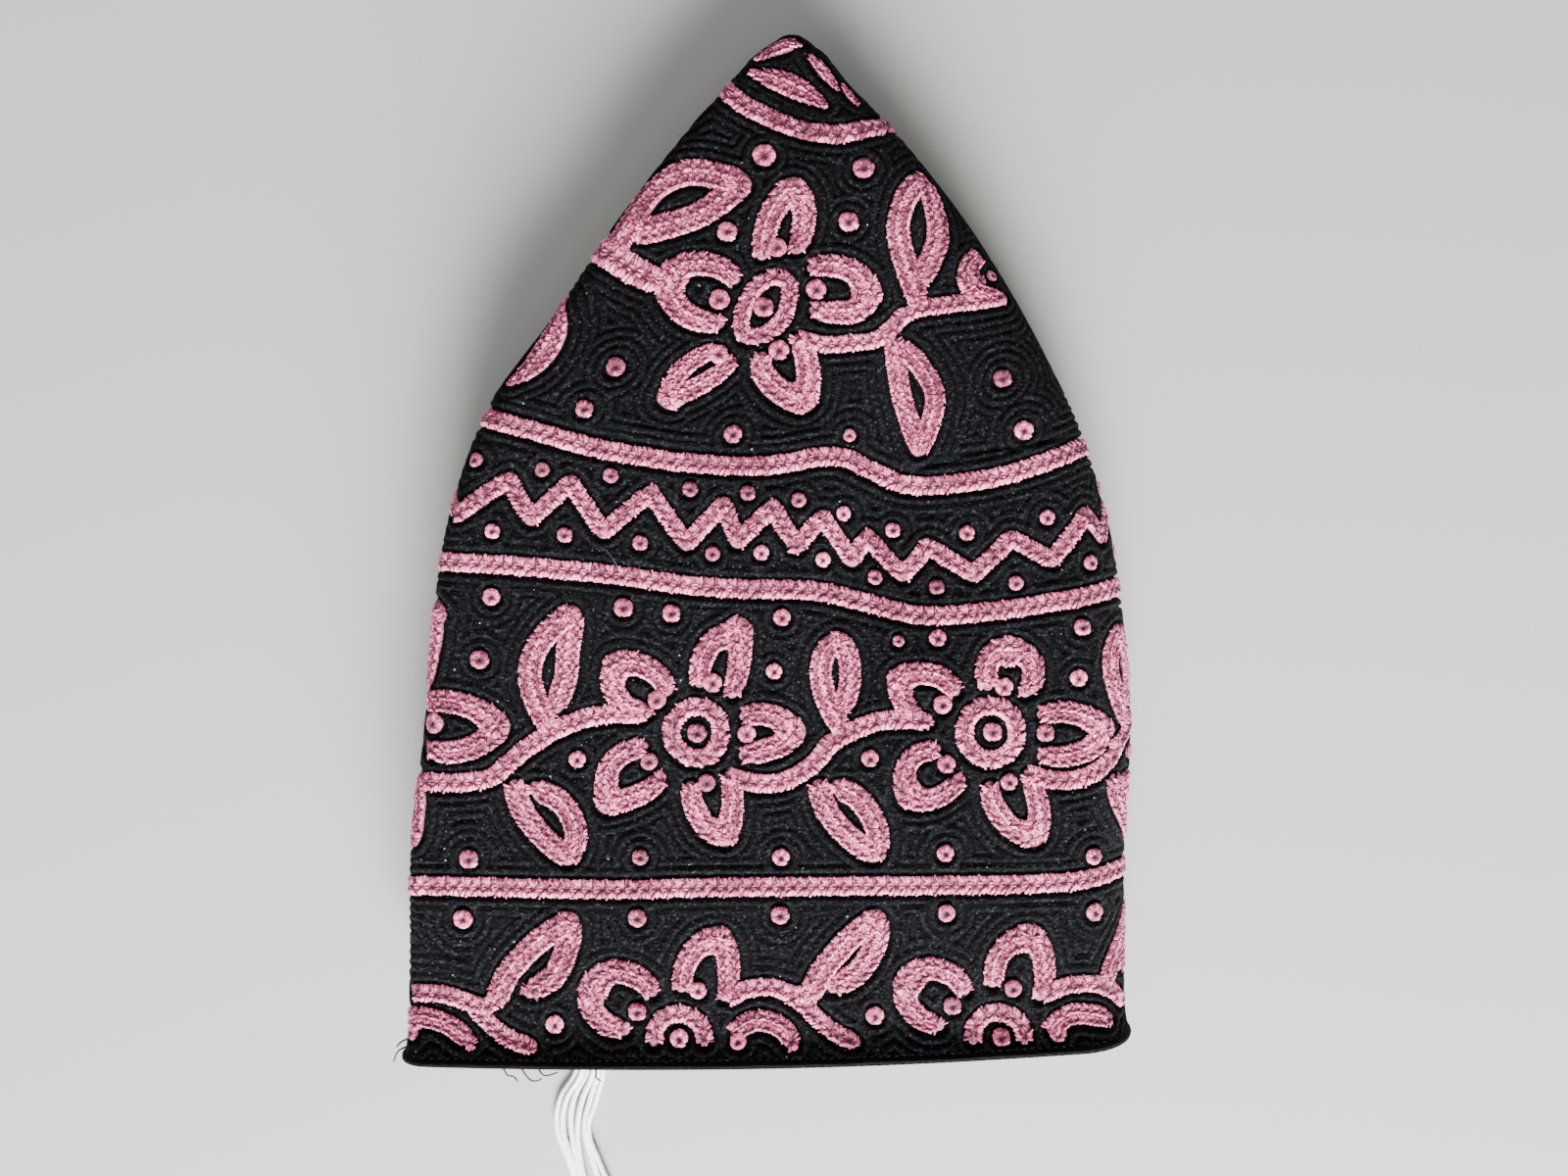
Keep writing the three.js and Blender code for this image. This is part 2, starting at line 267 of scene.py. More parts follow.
def folds_of(level, up):
    """The four folds of a section, each as its middle x, its middle z and its radius."""
    bottom = CLOTH / 2 + level["raise"] + (TAPE + PIECE_GAP) * (1 - smooth(up, *HEM_RELIEF))
    under_pair = bottom + level["pocket"]
    over_pair = under_pair + level["slit"]
    top = over_pair + level["pocket"]
    shrink = np.minimum(1, level["slit"] / FULL_SLIT) ** 2

    def turn(low, high, edge, side):
        radius = (high - low) / 2
        return edge - side * radius, (low + high) / 2, radius

    return {
        "upper": turn(over_pair, top, level["left"], -1),
        "lower": turn(bottom, under_pair, level["left"] + UNDER_INSET * shrink, -1),
        "spine": turn(bottom, top, level["right"], 1),
        "inner": turn(under_pair, over_pair, level["right"] - INNER_SETBACK * shrink, 1),
    }


def stretches_of(folds):
    """The lengths of a section's eight stretches, from the left end of the top layer."""
    upper, lower, spine, inner = (folds[k] for k in ("upper", "lower", "spine", "inner"))
    return np.stack([
        spine[0] - upper[0], np.pi * spine[2], spine[0] - lower[0], np.pi * lower[2],
        inner[0] - lower[0], np.pi * inner[2], inner[0] - upper[0], np.pi * upper[2],
    ])


def cloth_point(share, up, out=0.0):
    """The place in mm of a point of the cloth: its share of the way round, its height up the
    cloth and how far it lies outside the cloth's middle."""
    share, up = np.broadcast_arrays(np.asarray(share, float) % 1, np.asarray(up, float))
    level = level_at(up)
    folds = folds_of(level, up)
    upper, lower, spine, inner = (folds[k] for k in ("upper", "lower", "spine", "inner"))
    lengths = stretches_of(folds)
    ends = np.cumsum(lengths, axis=0)
    way = share * ends[-1]
    part = (way[None] >= ends).sum(axis=0).clip(0, 7)
    starts = np.concatenate([np.zeros_like(ends[:1]), ends[:-1]])
    s = np.take_along_axis((way[None] - starts) / lengths, part[None], axis=0)[0]

    def straight(x0, x1, z0, z1, side):
        return x0 + (x1 - x0) * s, z0 + (z1 - z0) * s, 0 * s, side + 0 * s

    def bend(fold, start, sweep, side):
        angle = start + sweep * s
        c, n = np.cos(angle), np.sin(angle)
        return fold[0] + fold[2] * c, fold[1] + fold[2] * n, side * c, side * n

    half = np.pi / 2
    pieces = [
        straight(upper[0], spine[0], upper[1] + upper[2], spine[1] + spine[2], 1),
        bend(spine, half, -np.pi, 1),
        straight(spine[0], lower[0], spine[1] - spine[2], lower[1] - lower[2], -1),
        bend(lower, -half, -np.pi, 1),
        straight(lower[0], inner[0], lower[1] + lower[2], inner[1] - inner[2], 1),
        bend(inner, -half, np.pi, -1),
        straight(inner[0], upper[0], inner[1] + inner[2], upper[1] - upper[2], -1),
        bend(upper, -half, -np.pi, 1),
    ]
    x, z, out_x, out_z = (
        np.take_along_axis(np.stack([p[k] for p in pieces]), part[None], axis=0)[0] for k in range(4)
    )
    outer = ends[2] / ends[-1]
    angle = np.pi - SLIT_ARC / 2 - np.minimum(1, share / outer) * (2 * np.pi - SLIT_ARC)
    angle = angle - np.maximum(0, (share - outer) / (1 - outer)) * SLIT_ARC
    c, n = np.cos(angle), np.sin(angle)
    knob = level["round"]
    middle, half_width = (level["left"] + level["right"]) / 2, (level["right"] - level["left"]) / 2
    x = x + knob * (middle + half_width * c - x)
    z = z + knob * (spine[1] + spine[2] * n - z)
    out_x, out_z = out_x + knob * (c - out_x), out_z + knob * (n - out_z)
    size = np.hypot(out_x, out_z)
    out = out + np.where(np.asarray(out) > 0.5, HEM_SWELL * np.exp(-((up / HEM_SWELL_REACH) ** 2)), 0)
    p = (x - level["left"]) / (level["right"] - level["left"])
    y = (
        level["y_left"] * (1 - p) * (1 - 2 * p)
        + level["y_mid"] * 4 * p * (1 - p)
        + level["y_right"] * p * (2 * p - 1)
    )
    on_top = part == 0
    edge = np.where(on_top, np.sin(np.pi * s), 0)
    lift = DOME * edge * smooth(level["slit"], *DOME_SLITS)
    slide = 0
    for along, middle_up, span_along, span_up, rise, drift in DENTS:
        dent = np.exp(-0.5 * ((s - along) / span_along) ** 2 - 0.5 * ((up - middle_up) / span_up) ** 2)
        dent = dent * np.minimum(1, 2 * edge) * (1 - knob)
        lift = lift + rise * dent
        slide = slide + drift * dent
    return np.stack([
        x + out * out_x / size + VIEW_X, y + slide + VIEW_Y, z + out * out_z / size + lift,
    ], axis=-1)


def off_the_floor(place, least):
    """The same points in mm, with none lower than the given height over the floor."""
    return np.stack([place[..., 0], place[..., 1], np.maximum(place[..., 2], least)], axis=-1)


def cloth_frame(share, up, out=CLOTH / 2):
    """A point of the cloth's outside, its two tangents per unit of share and height, and
    its outward normal."""
    d_share, d_up = 2e-4, 0.1
    point = cloth_point(share, up, out)
    along = (cloth_point(share + d_share, up, out) - cloth_point(share - d_share, up, out)) / (2 * d_share)
    rise = (cloth_point(share, up + d_up, out) - cloth_point(share, up - d_up, out)) / (2 * d_up)
    normal = np.cross(rise, along)
    normal /= np.linalg.norm(normal, axis=-1, keepdims=True) + 1e-12
    return point, along, rise, normal


def photo_pixel(point):
    """Where the camera sees a place, in the photograph's pixels."""
    per_pixel = 2 * math.tan(VIEW_ANGLE / 2) / PHOTO_WIDTH * (VIEW_HEIGHT - point[..., 2])
    return np.stack([
        PHOTO_WIDTH / 2 + (point[..., 0] - VIEW_X) / per_pixel,
        PHOTO_HEIGHT / 2 - (point[..., 1] - VIEW_Y) / per_pixel,
    ], axis=-1)


def on_cloth(pixels):
    """The share and height of the cloth that shows at pixels of the photograph."""
    pixels = np.atleast_2d(np.asarray(pixels, float))
    up = np.clip((1100 - pixels[:, 1]) * 0.196, 2, 205)
    share = np.full(len(up), TOP_MIDDLE)
    for _ in range(24):
        seen = photo_pixel(cloth_point(share, up, 1.3))
        by_share = (photo_pixel(cloth_point(share + 1e-3, up, 1.3)) - seen) / 1e-3
        by_up = (photo_pixel(cloth_point(share, up + 0.3, 1.3)) - seen) / 0.3
        miss = pixels - seen
        area = by_share[:, 0] * by_up[:, 1] - by_share[:, 1] * by_up[:, 0]
        area = np.where(np.abs(area) < 50, np.copysign(50, area), area)
        step_share = (miss[:, 0] * by_up[:, 1] - miss[:, 1] * by_up[:, 0]) / area
        step_up = (by_share[:, 0] * miss[:, 1] - by_share[:, 1] * miss[:, 0]) / area
        share = share + np.clip(step_share, -0.03, 0.03)
        share = np.clip((share + 0.5) % 1 - 0.5, -0.02, 0.28)
        up = np.clip(up + np.clip(step_up, -15, 15), 0.5, 207.5)
    return np.column_stack([share, up])


# Embroidery chart: the pink cotton chain stitch was laid by machine along drawn lines. Each
# line below is the middle of one row of stitches, measured in an enlarged part of the photo.
VIEWS = {  # where each enlarged part starts in the photograph, and its enlargement
    "row": (400, 580, 2.0103),
    "hem": (400, 860, 2.0103),
    "crown": (480, 140, 2.7034),
    "photo": (0, 0, 1),
}
ROW_FLOWER = [  # kind, width and line: a flower of the wall's middle row, its stem and leaves
    ("ring", 34, [(677, 337), (668, 368), (643, 389), (610, 389), (583, 368), (570, 337), (583, 305),
        (610, 284), (643, 285), (668, 306), (677, 337)]),
    ("petal", 42, [(630, 236), (633, 190), (655, 150), (692, 130), (716, 122), (718, 165), (712, 210),
        (698, 258)]),
    ("petal", 42, [(722, 302), (760, 297), (800, 308), (830, 336), (800, 364), (760, 377), (720, 385)]),
    ("petal", 40, [(610, 446), (618, 490), (645, 535), (688, 552), (700, 505), (700, 460), (690, 425)]),
    ("petal", 40, [(515, 364), (470, 380), (440, 415), (437, 484), (488, 475), (532, 452), (553, 428)]),
    ("petal", 42, [(566, 252), (545, 217), (500, 192), (453, 194), (450, 243), (475, 283), (525, 298)]),
    ("stem", 38, [(690, 425), (740, 440), (800, 438), (860, 405), (905, 357), (960, 326), (1030, 310),
        (1105, 315)]),
    ("leaf", 38, [(918, 330), (890, 275), (876, 215), (887, 168), (918, 147), (940, 180), (942, 240),
        (922, 300)]),
    ("leaf", 40, [(870, 445), (890, 500), (935, 553), (990, 586), (998, 535), (963, 475), (912, 442)]),
]
ROW_FLOWER_RIGHT = [  # the next flower along, without its stem
    ("ring", 34, [(1285, 337), (1275, 369), (1248, 391), (1212, 391), (1184, 370), (1173, 337),
        (1184, 304), (1211, 283), (1248, 284), (1275, 305), (1285, 337)]),
    ("petal", 42, [(1222, 242), (1219, 200), (1240, 167), (1275, 161), (1312, 185), (1318, 225),
        (1300, 256)]),
    ("petal", 40, [(1333, 299), (1385, 293), (1440, 308), (1474, 335), (1440, 370), (1385, 388),
        (1332, 385)]),
    ("petal", 40, [(1225, 446), (1235, 490), (1270, 535), (1322, 554), (1332, 505), (1322, 460),
        (1308, 425)]),
    ("petal", 38, [(1118, 369), (1070, 385), (1048, 425), (1057, 474), (1105, 478), (1145, 457),
        (1170, 432)]),
    ("petal", 40, [(1158, 252), (1125, 221), (1075, 213), (1035, 226), (1045, 270), (1072, 303)]),
]
ROW_LEFT = [  # what shows of the flower at the left edge, with its stem and leaves
    ("petal", 42, [(70, 272), (120, 272), (180, 290), (222, 326), (180, 364), (120, 380), (72, 372)]),
    ("stem", 38, [(62, 438), (130, 440), (200, 430), (250, 390), (300, 352), (370, 317), (440, 300),
        (520, 300)]),
    ("leaf", 42, [(318, 325), (290, 270), (278, 210), (300, 150), (352, 98), (372, 105), (364, 170),
        (358, 230), (334, 292)]),
    ("leaf", 40, [(245, 445), (265, 500), (310, 558), (362, 592), (380, 540), (350, 480), (290, 446)]),
]
HEM_FLOWER = [  # a flower of the lowest row, which the hem cuts
    ("ring", 33, [(535, 412), (540, 380), (562, 357), (590, 351), (618, 360), (638, 382), (642, 412)]),
    ("petal", 42, [(535, 308), (505, 276), (450, 263), (406, 290), (403, 335), (435, 374), (478, 387)]),
    ("petal", 40, [(592, 300), (600, 250), (630, 207), (675, 192), (692, 235), (692, 290), (682, 320)]),
    ("stem", 36, [(690, 322), (730, 301), (780, 298), (830, 312), (880, 300)]),
    ("stem", 34, [(800, 305), (845, 335), (885, 373), (920, 398), (955, 411)]),
    ("leaf", 42, [(852, 315), (880, 262), (930, 202), (982, 160), (998, 165), (995, 210), (960, 268),
        (905, 302)]),
    ("petal", 38, [(702, 387), (745, 364), (790, 373), (828, 404)]),
]
HEM_FLOWER_RIGHT = [
    ("ring", 33, [(1191, 408), (1196, 377), (1218, 354), (1246, 348), (1275, 357), (1295, 379),
        (1300, 408)]),
    ("petal", 40, [(1178, 305), (1150, 271), (1095, 256), (1053, 280), (1051, 325), (1085, 365),
        (1125, 378)]),
    ("petal", 40, [(1232, 290), (1240, 240), (1270, 202), (1315, 187), (1338, 230), (1342, 285),
        (1330, 318)]),
    ("stem", 34, [(1335, 315), (1380, 296), (1430, 290), (1470, 298), (1500, 318)]),
    ("petal", 36, [(1352, 375), (1395, 351), (1440, 352), (1478, 363)]),
]
HEM_LEFT = [
    ("leaf", 42, [(208, 325), (236, 265), (290, 207), (350, 165), (366, 170), (362, 215), (335, 275),
        (280, 312)]),
    ("stem", 35, [(40, 310), (90, 310), (140, 323), (185, 336), (215, 330)]),
    ("stem", 34, [(160, 330), (205, 378), (250, 408), (290, 424)]),
    ("petal", 35, [(32, 355), (70, 358), (120, 375), (162, 410)]),
]
CROWN_FLOWER = [  # the flower of the crown that shows whole, its stem to the right and two leaves
    ("ring", 42, [(852, 384), (880, 398), (882, 440), (862, 500), (815, 542), (765, 549), (745, 525),
        (755, 465), (790, 408), (830, 384), (852, 384)]),
    ("crown_petal", 48, [(800, 325), (805, 260), (830, 190), (880, 128), (918, 148), (930, 220),
        (912, 290), (900, 312)]),
    ("crown_petal", 48, [(940, 353), (1000, 345), (1065, 365), (1116, 427), (1075, 482), (1005, 490),
        (945, 477)]),
    ("crown_petal", 50, [(800, 602), (800, 650), (850, 708), (925, 738), (942, 670), (932, 600),
        (905, 550)]),
    ("crown_petal", 35, [(670, 580), (600, 615), (550, 665), (545, 728), (620, 700), (690, 655),
        (728, 616)]),
    ("crown_petal", 50, [(733, 387), (690, 352), (620, 338), (548, 360), (532, 420), (580, 488),
        (640, 513), (690, 515)]),
    ("stem", 46, [(905, 552), (980, 570), (1060, 566), (1120, 556), (1165, 522), (1215, 480),
        (1300, 462), (1400, 452), (1480, 440)]),
    ("crown_leaf", 48, [(1228, 450), (1187, 330), (1172, 240), (1200, 152), (1252, 113), (1288, 180),
        (1300, 270), (1272, 350), (1240, 412)]),
    ("crown_leaf", 40, [(1160, 560), (1172, 660), (1192, 750), (1240, 862), (1285, 762), (1285, 690),
        (1240, 615), (1190, 565)]),
]
CROWN_REST = [  # what shows of the crown's other flowers, at its left and right edges
    ("stem", 78, [(335, 300), (400, 335), (460, 370), (530, 400)]),
    ("crown_leaf", 60, [(392, 300), (432, 222), (500, 132), (600, 88), (700, 102), (748, 128),
        (700, 176), (620, 226), (520, 256), (440, 272)]),
    ("crown_petal", 44, [(1405, 322), (1374, 350), (1366, 402), (1400, 438), (1466, 446)]),
]
CROWN_LEFT_EDGE = [("lens", 29, [(574, 306), (569, 320), (566, 333), (556, 354), (540, 374), (517, 392)])]
CROWN_MEDALLION = [  # the ring round the crown's middle, and the rosette inside it
    ("stem", 20.5, [(738, 90), (755, 103), (780, 117), (806, 128), (829, 134), (856, 136), (882, 131),
        (904, 128)]),
    ("lens", 27, [(766, 73), (784, 78), (804, 85), (824, 95), (844, 108)]),
    ("lens", 19, [(771, 60), (784, 52), (797, 46), (808, 43), (819, 46)]),
    ("lens", 13, [(826, 56), (838, 68), (849, 82), (856, 91)]),
    ("lens", 10, [(861, 86), (868, 96), (878, 108)]),
]
ROW_DOTS = [  # x, y and radius in the photograph
    (711, 748, 9), (727, 697, 9), (762, 749, 8.5), (721, 799, 8.5), (662, 777, 8.5), (670, 714, 9),
    (589, 775, 8), (790, 685, 7.5), (798, 630, 8), (797, 875, 8), (653, 875, 7.5),
]
ROW_DOTS_SHOWN = [
    (1013, 747, 9), (1025, 701, 8.5), (1067, 748, 8.5), (1030, 798, 8), (966, 780, 8.5), (962, 719, 9),
    (888, 774, 8), (957, 651, 8), (917, 654, 5.5), (1101, 692, 8), (1105, 640, 8), (1117, 874, 8),
    (965, 871, 8), (441, 738, 10), (489, 673, 9), (501, 609, 8.5), (636, 620, 9), (685, 626, 8.5),
    (478, 877, 9),
]
HEM_DOTS = [
    (693, 1060, 8.5), (712, 1011, 8), (650, 1033, 8.5), (566, 1046, 8.5), (796, 934, 8.5), (650, 937, 8.5),
    (753, 1063, 8),
]
HEM_DOTS_SHOWN = [
    (1022, 1059, 8.5), (1034, 1009, 8.5), (972, 1027, 8.5), (893, 1037, 8.5), (966, 932, 8.5),
    (1118, 931, 8.5), (472, 938, 9), (1080, 1055, 8), (419, 1054, 7),
]
CROWN_DOTS = [
    (779, 313, 9.5), (793, 252, 9.5), (833, 295, 9.5), (795, 357, 9.5), (733, 361, 9.5), (734, 305, 10),
    (866, 226, 9.5), (742, 236, 9.5), (748, 443, 8.5), (881, 171, 10),
]
CROWN_DOTS_SHOWN = [
    (780, 158, 11), (628, 374, 9.5), (596, 417, 8.5), (867, 444, 6.5), (1023, 386, 8.5), (1045, 439, 9),
    (1013, 281, 6),
]
ZIGZAG = [  # the zigzag line between the two upper bands
    (455, 512), (467, 524), (494, 505), (519, 489), (542, 529), (582, 492), (616, 542), (664, 502),
    (701, 554), (738, 514), (753, 552), (788, 517), (813, 557), (840, 527), (870, 571), (885, 547),
    (922, 586), (947, 557), (994, 586), (1032, 549), (1074, 571), (1109, 524), (1126, 547),
]
ZIGZAG_DOTS = [
    (484, 469), (553, 479), (623, 485), (704, 499), (763, 503), (815, 510), (861, 524), (911, 541),
    (987, 544), (1069, 528), (1124, 497), (502, 542), (576, 546), (653, 554), (727, 565), (777, 564),
    (840, 571), (893, 589), (956, 599), (1037, 595), (1114, 574),
]
BANDS = [  # the three bands that run round the wall
    [(418, 904), (480, 905), (560, 907), (640, 908), (700, 906), (800, 905), (900, 904), (1000, 903),
     (1080, 901), (1120, 895), (1146, 885)],
    [(446, 573), (520, 577), (620, 586), (700, 597), (760, 601), (830, 603), (880, 614), (940, 628),
     (1000, 625), (1060, 617), (1110, 608), (1142, 599)],
    [(494, 426), (540, 438), (600, 455), (660, 466), (700, 472), (780, 475), (850, 465), (890, 480),
     (930, 495), (1000, 490), (1060, 474), (1106, 456)],
]
BAND_WIDTH = 3.5
ZIGZAG_WIDTH = 3.3
RING_WIDTH = 3.6
ROSETTE_WIDTH = 3.4
ROSETTE_SHARES = (0.33, 0.5, 0.67, 0.84)  # where the rosette's hidden rows run up to the middle
ROSETTE_GAP = 4.5
ROSETTE_TOP = 205
ZIGZAG_DOT = 7.2  # its radius in pixels of the photograph
HIDDEN_DOT = 1.35
FLOWER_PIXELS = [(710, 750), (1014, 748)]  # the middles of the two flowers that show whole
LEFT_SHIFT = -0.1125  # from the first of these to the flower that shows in part at the left
GROWTH = {  # how much wider than its charted width a row of each kind is, inwards, in pixels of
    # the photograph: along it, more at its tip and more at its two ends
    "petal": (3.0, 8.0, -2.0),
    "leaf": (3.6, 0.5, 0.0),
    "crown_petal": (7.0, 9.0, -3.5),
    "crown_leaf": (6.0, 0.5, 0.0),
    "ring": (1.5, 0, 0),
    "stem": (0, 0, 0),
    "lens": (0, 0, 0),
}
REPEATS_HIDDEN = 7  # flowers of each row on the layers that the photo doesn't show
CROWN_REPEATS = 5
HIDDEN_ON_CROWN = (0.28, 0.955)  # the shares where the crown's other flowers lie
HIDDEN_DOT_HEIGHTS = (111.3, 99.0)  # above and below the hidden part of the zigzag
PIXEL = 0.187  # mm on the cap's top layer under one pixel of the photograph
TIP_SPAN, END_SPAN = 0.11, 0.16  # how much of a row its tip and its ends take up
DOT_GROWTH = 1.07


def enlarged(view, points):
    """Pixels of an enlarged part, as pixels of the photograph."""
    left, top, scale = VIEWS[view]
    return np.array(points, float) / scale + (left, top)


def eased(points, step=1.0):
    """A smooth line through the points, at about even steps."""
    points = np.array(points, float)
    padded = np.concatenate([[2 * points[0] - points[1]], points, [2 * points[-1] - points[-2]]])
    line = []
    for i in range(len(points) - 1):
        p0, p1, p2, p3 = padded[i : i + 4]
        count = max(2, int(np.linalg.norm(p2 - p1) / step))
        s = np.linspace(0, 1, count, endpoint=False)[:, None]
        bend = (2 * p0 - 5 * p1 + 4 * p2 - p3) * s**2 + (3 * p1 - p0 - 3 * p2 + p3) * s**3
        line.append(0.5 * (2 * p1 + (p2 - p0) * s + bend))
    return np.concatenate([*line, points[-1:]])


def charted_rows(view, chart):
    """Rows of stitches on the cloth, each with its line as shares and heights, and its widths."""
    rows = []
    for kind, width, points in chart:
        line = eased(enlarged(view, points), 1.5)
        along = np.linspace(0, 1, len(line))
        between_ends = (line[0] + line[-1]) / 2
        tip = along[np.argmax(np.linalg.norm(line - between_ends, axis=1))]
        body, at_tip, at_ends = GROWTH[kind]
        growth = body + at_tip * np.exp(-(((along - tip) / TIP_SPAN) ** 2))
        for from_end in (along, 1 - along):
            growth += at_ends * np.exp(-((from_end / END_SPAN) ** 2))
        way = np.gradient(line, axis=0)
        inward = np.column_stack([-way[:, 1], way[:, 0]]) / np.linalg.norm(way, axis=1)[:, None]
        if (inward * (line.mean(axis=0) - line)).sum() < 0:
            inward = -inward
        moved = on_cloth(line + inward * growth[:, None] / 2)
        widths = (width / VIEWS[view][2] + growth) * PIXEL
        if kind == "lens":
            widths = widths * np.sin(np.pi * np.clip(along, 0.08, 0.92)) ** 0.7
        rows.append({"line": moved, "widths": widths, "kind": kind})
    return rows


def charted_dots(dots):
    """Dots on the cloth, from their pixels and radii in the photograph."""
    places = on_cloth([dot[:2] for dot in dots])
    return [{"place": place, "radius": dot[2] * DOT_GROWTH * PIXEL} for place, dot in zip(places, dots)]


def moved_round(motifs, shift):
    """The same motifs further round the cap."""
    moved = []
    for motif in motifs:
        copy = dict(motif)
        for key in ("line", "place"):
            if key in copy:
                copy[key] = copy[key] + np.array([shift, 0])
        moved.append(copy)
    return moved


def stitched_length(line):
    """How far along a line each of its points is, in mm on the cloth."""
    place = cloth_point(line[:, 0], line[:, 1], CLOTH / 2)
    return np.concatenate([[0], np.cumsum(np.linalg.norm(np.diff(place, axis=0), axis=1))])


def band_of(line, width):
    """A row of stitches of an even width."""
    return {"line": line, "widths": np.full(len(line), width), "kind": "band"}


def round_the_wall(shown, width):
    """A line that shows on the top layer, led on round the hidden layers at an even slope."""
    line = on_cloth(eased(shown, 3))
    start, end = line[0] + (1, 0), line[-1]
    s = np.linspace(0, 1, 160)[1:, None]
    return band_of(np.concatenate([line, end + (start - end) * s]), width)


# The two rows of flowers. The flowers that show are charted one by one; the same flower is
# repeated round the layers underneath, so that ten stand round the cap.
first, second = on_cloth(FLOWER_PIXELS)[:, 0]
hidden_step = (1 + first + LEFT_SHIFT - second) / (REPEATS_HIDDEN + 1)
hidden_shifts = [second + hidden_step * k - first for k in range(1, REPEATS_HIDDEN + 1)]

row_flower = charted_rows("row", ROW_FLOWER)
row_dots = charted_dots(ROW_DOTS)
hem_flower = charted_rows("hem", HEM_FLOWER)
hem_dots = charted_dots(HEM_DOTS)
rows = [*row_flower, *charted_rows("row", ROW_FLOWER_RIGHT), *charted_rows("row", ROW_LEFT)]
rows += [*hem_flower, *charted_rows("hem", HEM_FLOWER_RIGHT), *charted_rows("hem", HEM_LEFT)]
dots = [*row_dots, *charted_dots(ROW_DOTS_SHOWN), *hem_dots, *charted_dots(HEM_DOTS_SHOWN)]
rows += moved_round(row_flower[6:], second - first)
rows += moved_round([row_flower[k] for k in (0, 1, 3, 4, 5)], LEFT_SHIFT)
rows += moved_round(hem_flower[5:6], second - first)
for shift in hidden_shifts:
    rows += moved_round(row_flower + hem_flower, shift)
    dots += moved_round(row_dots + hem_dots, shift)

# The bands and the zigzag show on the top layer, and are led on round the layers underneath.
# The zigzag's hidden turns are as long as those that show.
band_rows = [round_the_wall(band, BAND_WIDTH) for band in BANDS]
zigzag_shown = on_cloth(ZIGZAG)
turns = zigzag_shown[2:]
half_turn = (turns[-1, 0] - turns[0, 0]) / (len(turns) - 1)
gap = 1 + zigzag_shown[0, 0] - zigzag_shown[-1, 0]
hidden_turns = 2 * int(round(gap / half_turn / 2))
trough, peak = turns[3::2, 1].mean(), turns[2::2, 1].mean()
low_turn, high_turn = min(trough, peak), max(trough, peak)
zigzag_line = [*zigzag_shown]
for k in range(1, hidden_turns):
    height = high_turn if k % 2 else low_turn
    zigzag_line.append(np.array([zigzag_shown[-1, 0] + gap * k / hidden_turns, height]))
zigzag_line = np.array([*zigzag_line, zigzag_shown[0] + (1, 0)])
between = np.linspace(0, 1, 12, endpoint=False)[:, None]
zigzag_fine = np.concatenate([
    *(a + (b - a) * between for a, b in zip(zigzag_line, zigzag_line[1:])), zigzag_line[-1:],
])
band_rows.append(band_of(zigzag_fine, ZIGZAG_WIDTH))
zigzag_dots = charted_dots([(x, y, ZIGZAG_DOT) for x, y in ZIGZAG_DOTS])
for k in range(1, hidden_turns):
    share = zigzag_shown[-1, 0] + gap * k / hidden_turns
    place = np.array([share, HIDDEN_DOT_HEIGHTS[k % 2]])
    zigzag_dots.append({"place": place, "radius": HIDDEN_DOT})
dots += zigzag_dots
rows += band_rows

# The crown: one flower shows whole. Copies of it stand on the hidden layers, round the ring
# and the rosette at the crown's middle.
crown_flower = charted_rows("crown", CROWN_FLOWER)
crown_dots = charted_dots(CROWN_DOTS)
rows += [*crown_flower, *charted_rows("crown", CROWN_REST)]
rows += charted_rows("photo", CROWN_LEFT_EDGE + CROWN_MEDALLION)
dots += [*crown_dots, *charted_dots(CROWN_DOTS_SHOWN)]
hidden_from, hidden_to = HIDDEN_ON_CROWN
for k in range(1, CROWN_REPEATS):
    for row in moved_round(crown_flower, k / CROWN_REPEATS):
        if np.all((row["line"][:, 0] > hidden_from) & (row["line"][:, 0] < hidden_to)):
            rows.append(row)
    for dot in moved_round(crown_dots, k / CROWN_REPEATS):
        if hidden_from < dot["place"][0] < hidden_to:
            dots.append(dot)
ring_shown = charted_rows("photo", CROWN_MEDALLION[:1])[0]["line"]
ring_height = np.median(ring_shown[:, 1])
led_on = np.linspace(0, 1, 90)[:, None]
ring_rest = ring_shown[-1] + (ring_shown[0] + (1, 0) - ring_shown[-1]) * led_on
rows.append(band_of(ring_rest, RING_WIDTH))
rosette_heights = np.linspace(ring_height + ROSETTE_GAP, ROSETTE_TOP, 12)
for share in ROSETTE_SHARES:
    petal = band_of(np.column_stack([np.full(12, share), rosette_heights]), ROSETTE_WIDTH)
    rows.append({**petal, "kind": "stem"})


def spread_key(share, up, place):
    """Flat coordinates in which the layers of the cap lie side by side, nearly to scale."""
    round_length = stretches_of(folds_of(level_at(up), up)).sum(axis=0)
    return np.column_stack([
        ((share - TOP_MIDDLE + 0.5) % 1 - 0.5) * round_length, place[:, 1], np.zeros(len(place)),
    ])


def motif_tree():
    """A search tree of all the pink rows and dots, and the half width at each of its points."""
    keys, halves = [], []
    for row in rows:
        length = stitched_length(row["line"])
        steps = np.arange(0.15, max(0.3, length[-1] - 0.15), 0.3)
        share = np.interp(steps, length, row["line"][:, 0])
        up = np.interp(steps, length, row["line"][:, 1])
        keys.append(spread_key(share, up, cloth_point(share, up, CLOTH / 2)))
        half = np.interp(steps, length, row["widths"]) / 2
        halves.append(half * np.minimum(1, 0.55 + np.minimum(steps, length[-1] - steps) / half / 2))
    for dot in dots:
        share, up = dot["place"][:1], dot["place"][1:]
        keys.append(spread_key(share, up, cloth_point(share, up, CLOTH / 2)))
        halves.append(np.array([dot["radius"]]))
    keys, halves = np.concatenate(keys), np.concatenate(halves)
    tree = KDTree(len(keys))
    for number, key in enumerate(keys):
        tree.insert(key, number)
    tree.balance()
    return tree, halves


pink_tree, pink_halves = motif_tree()


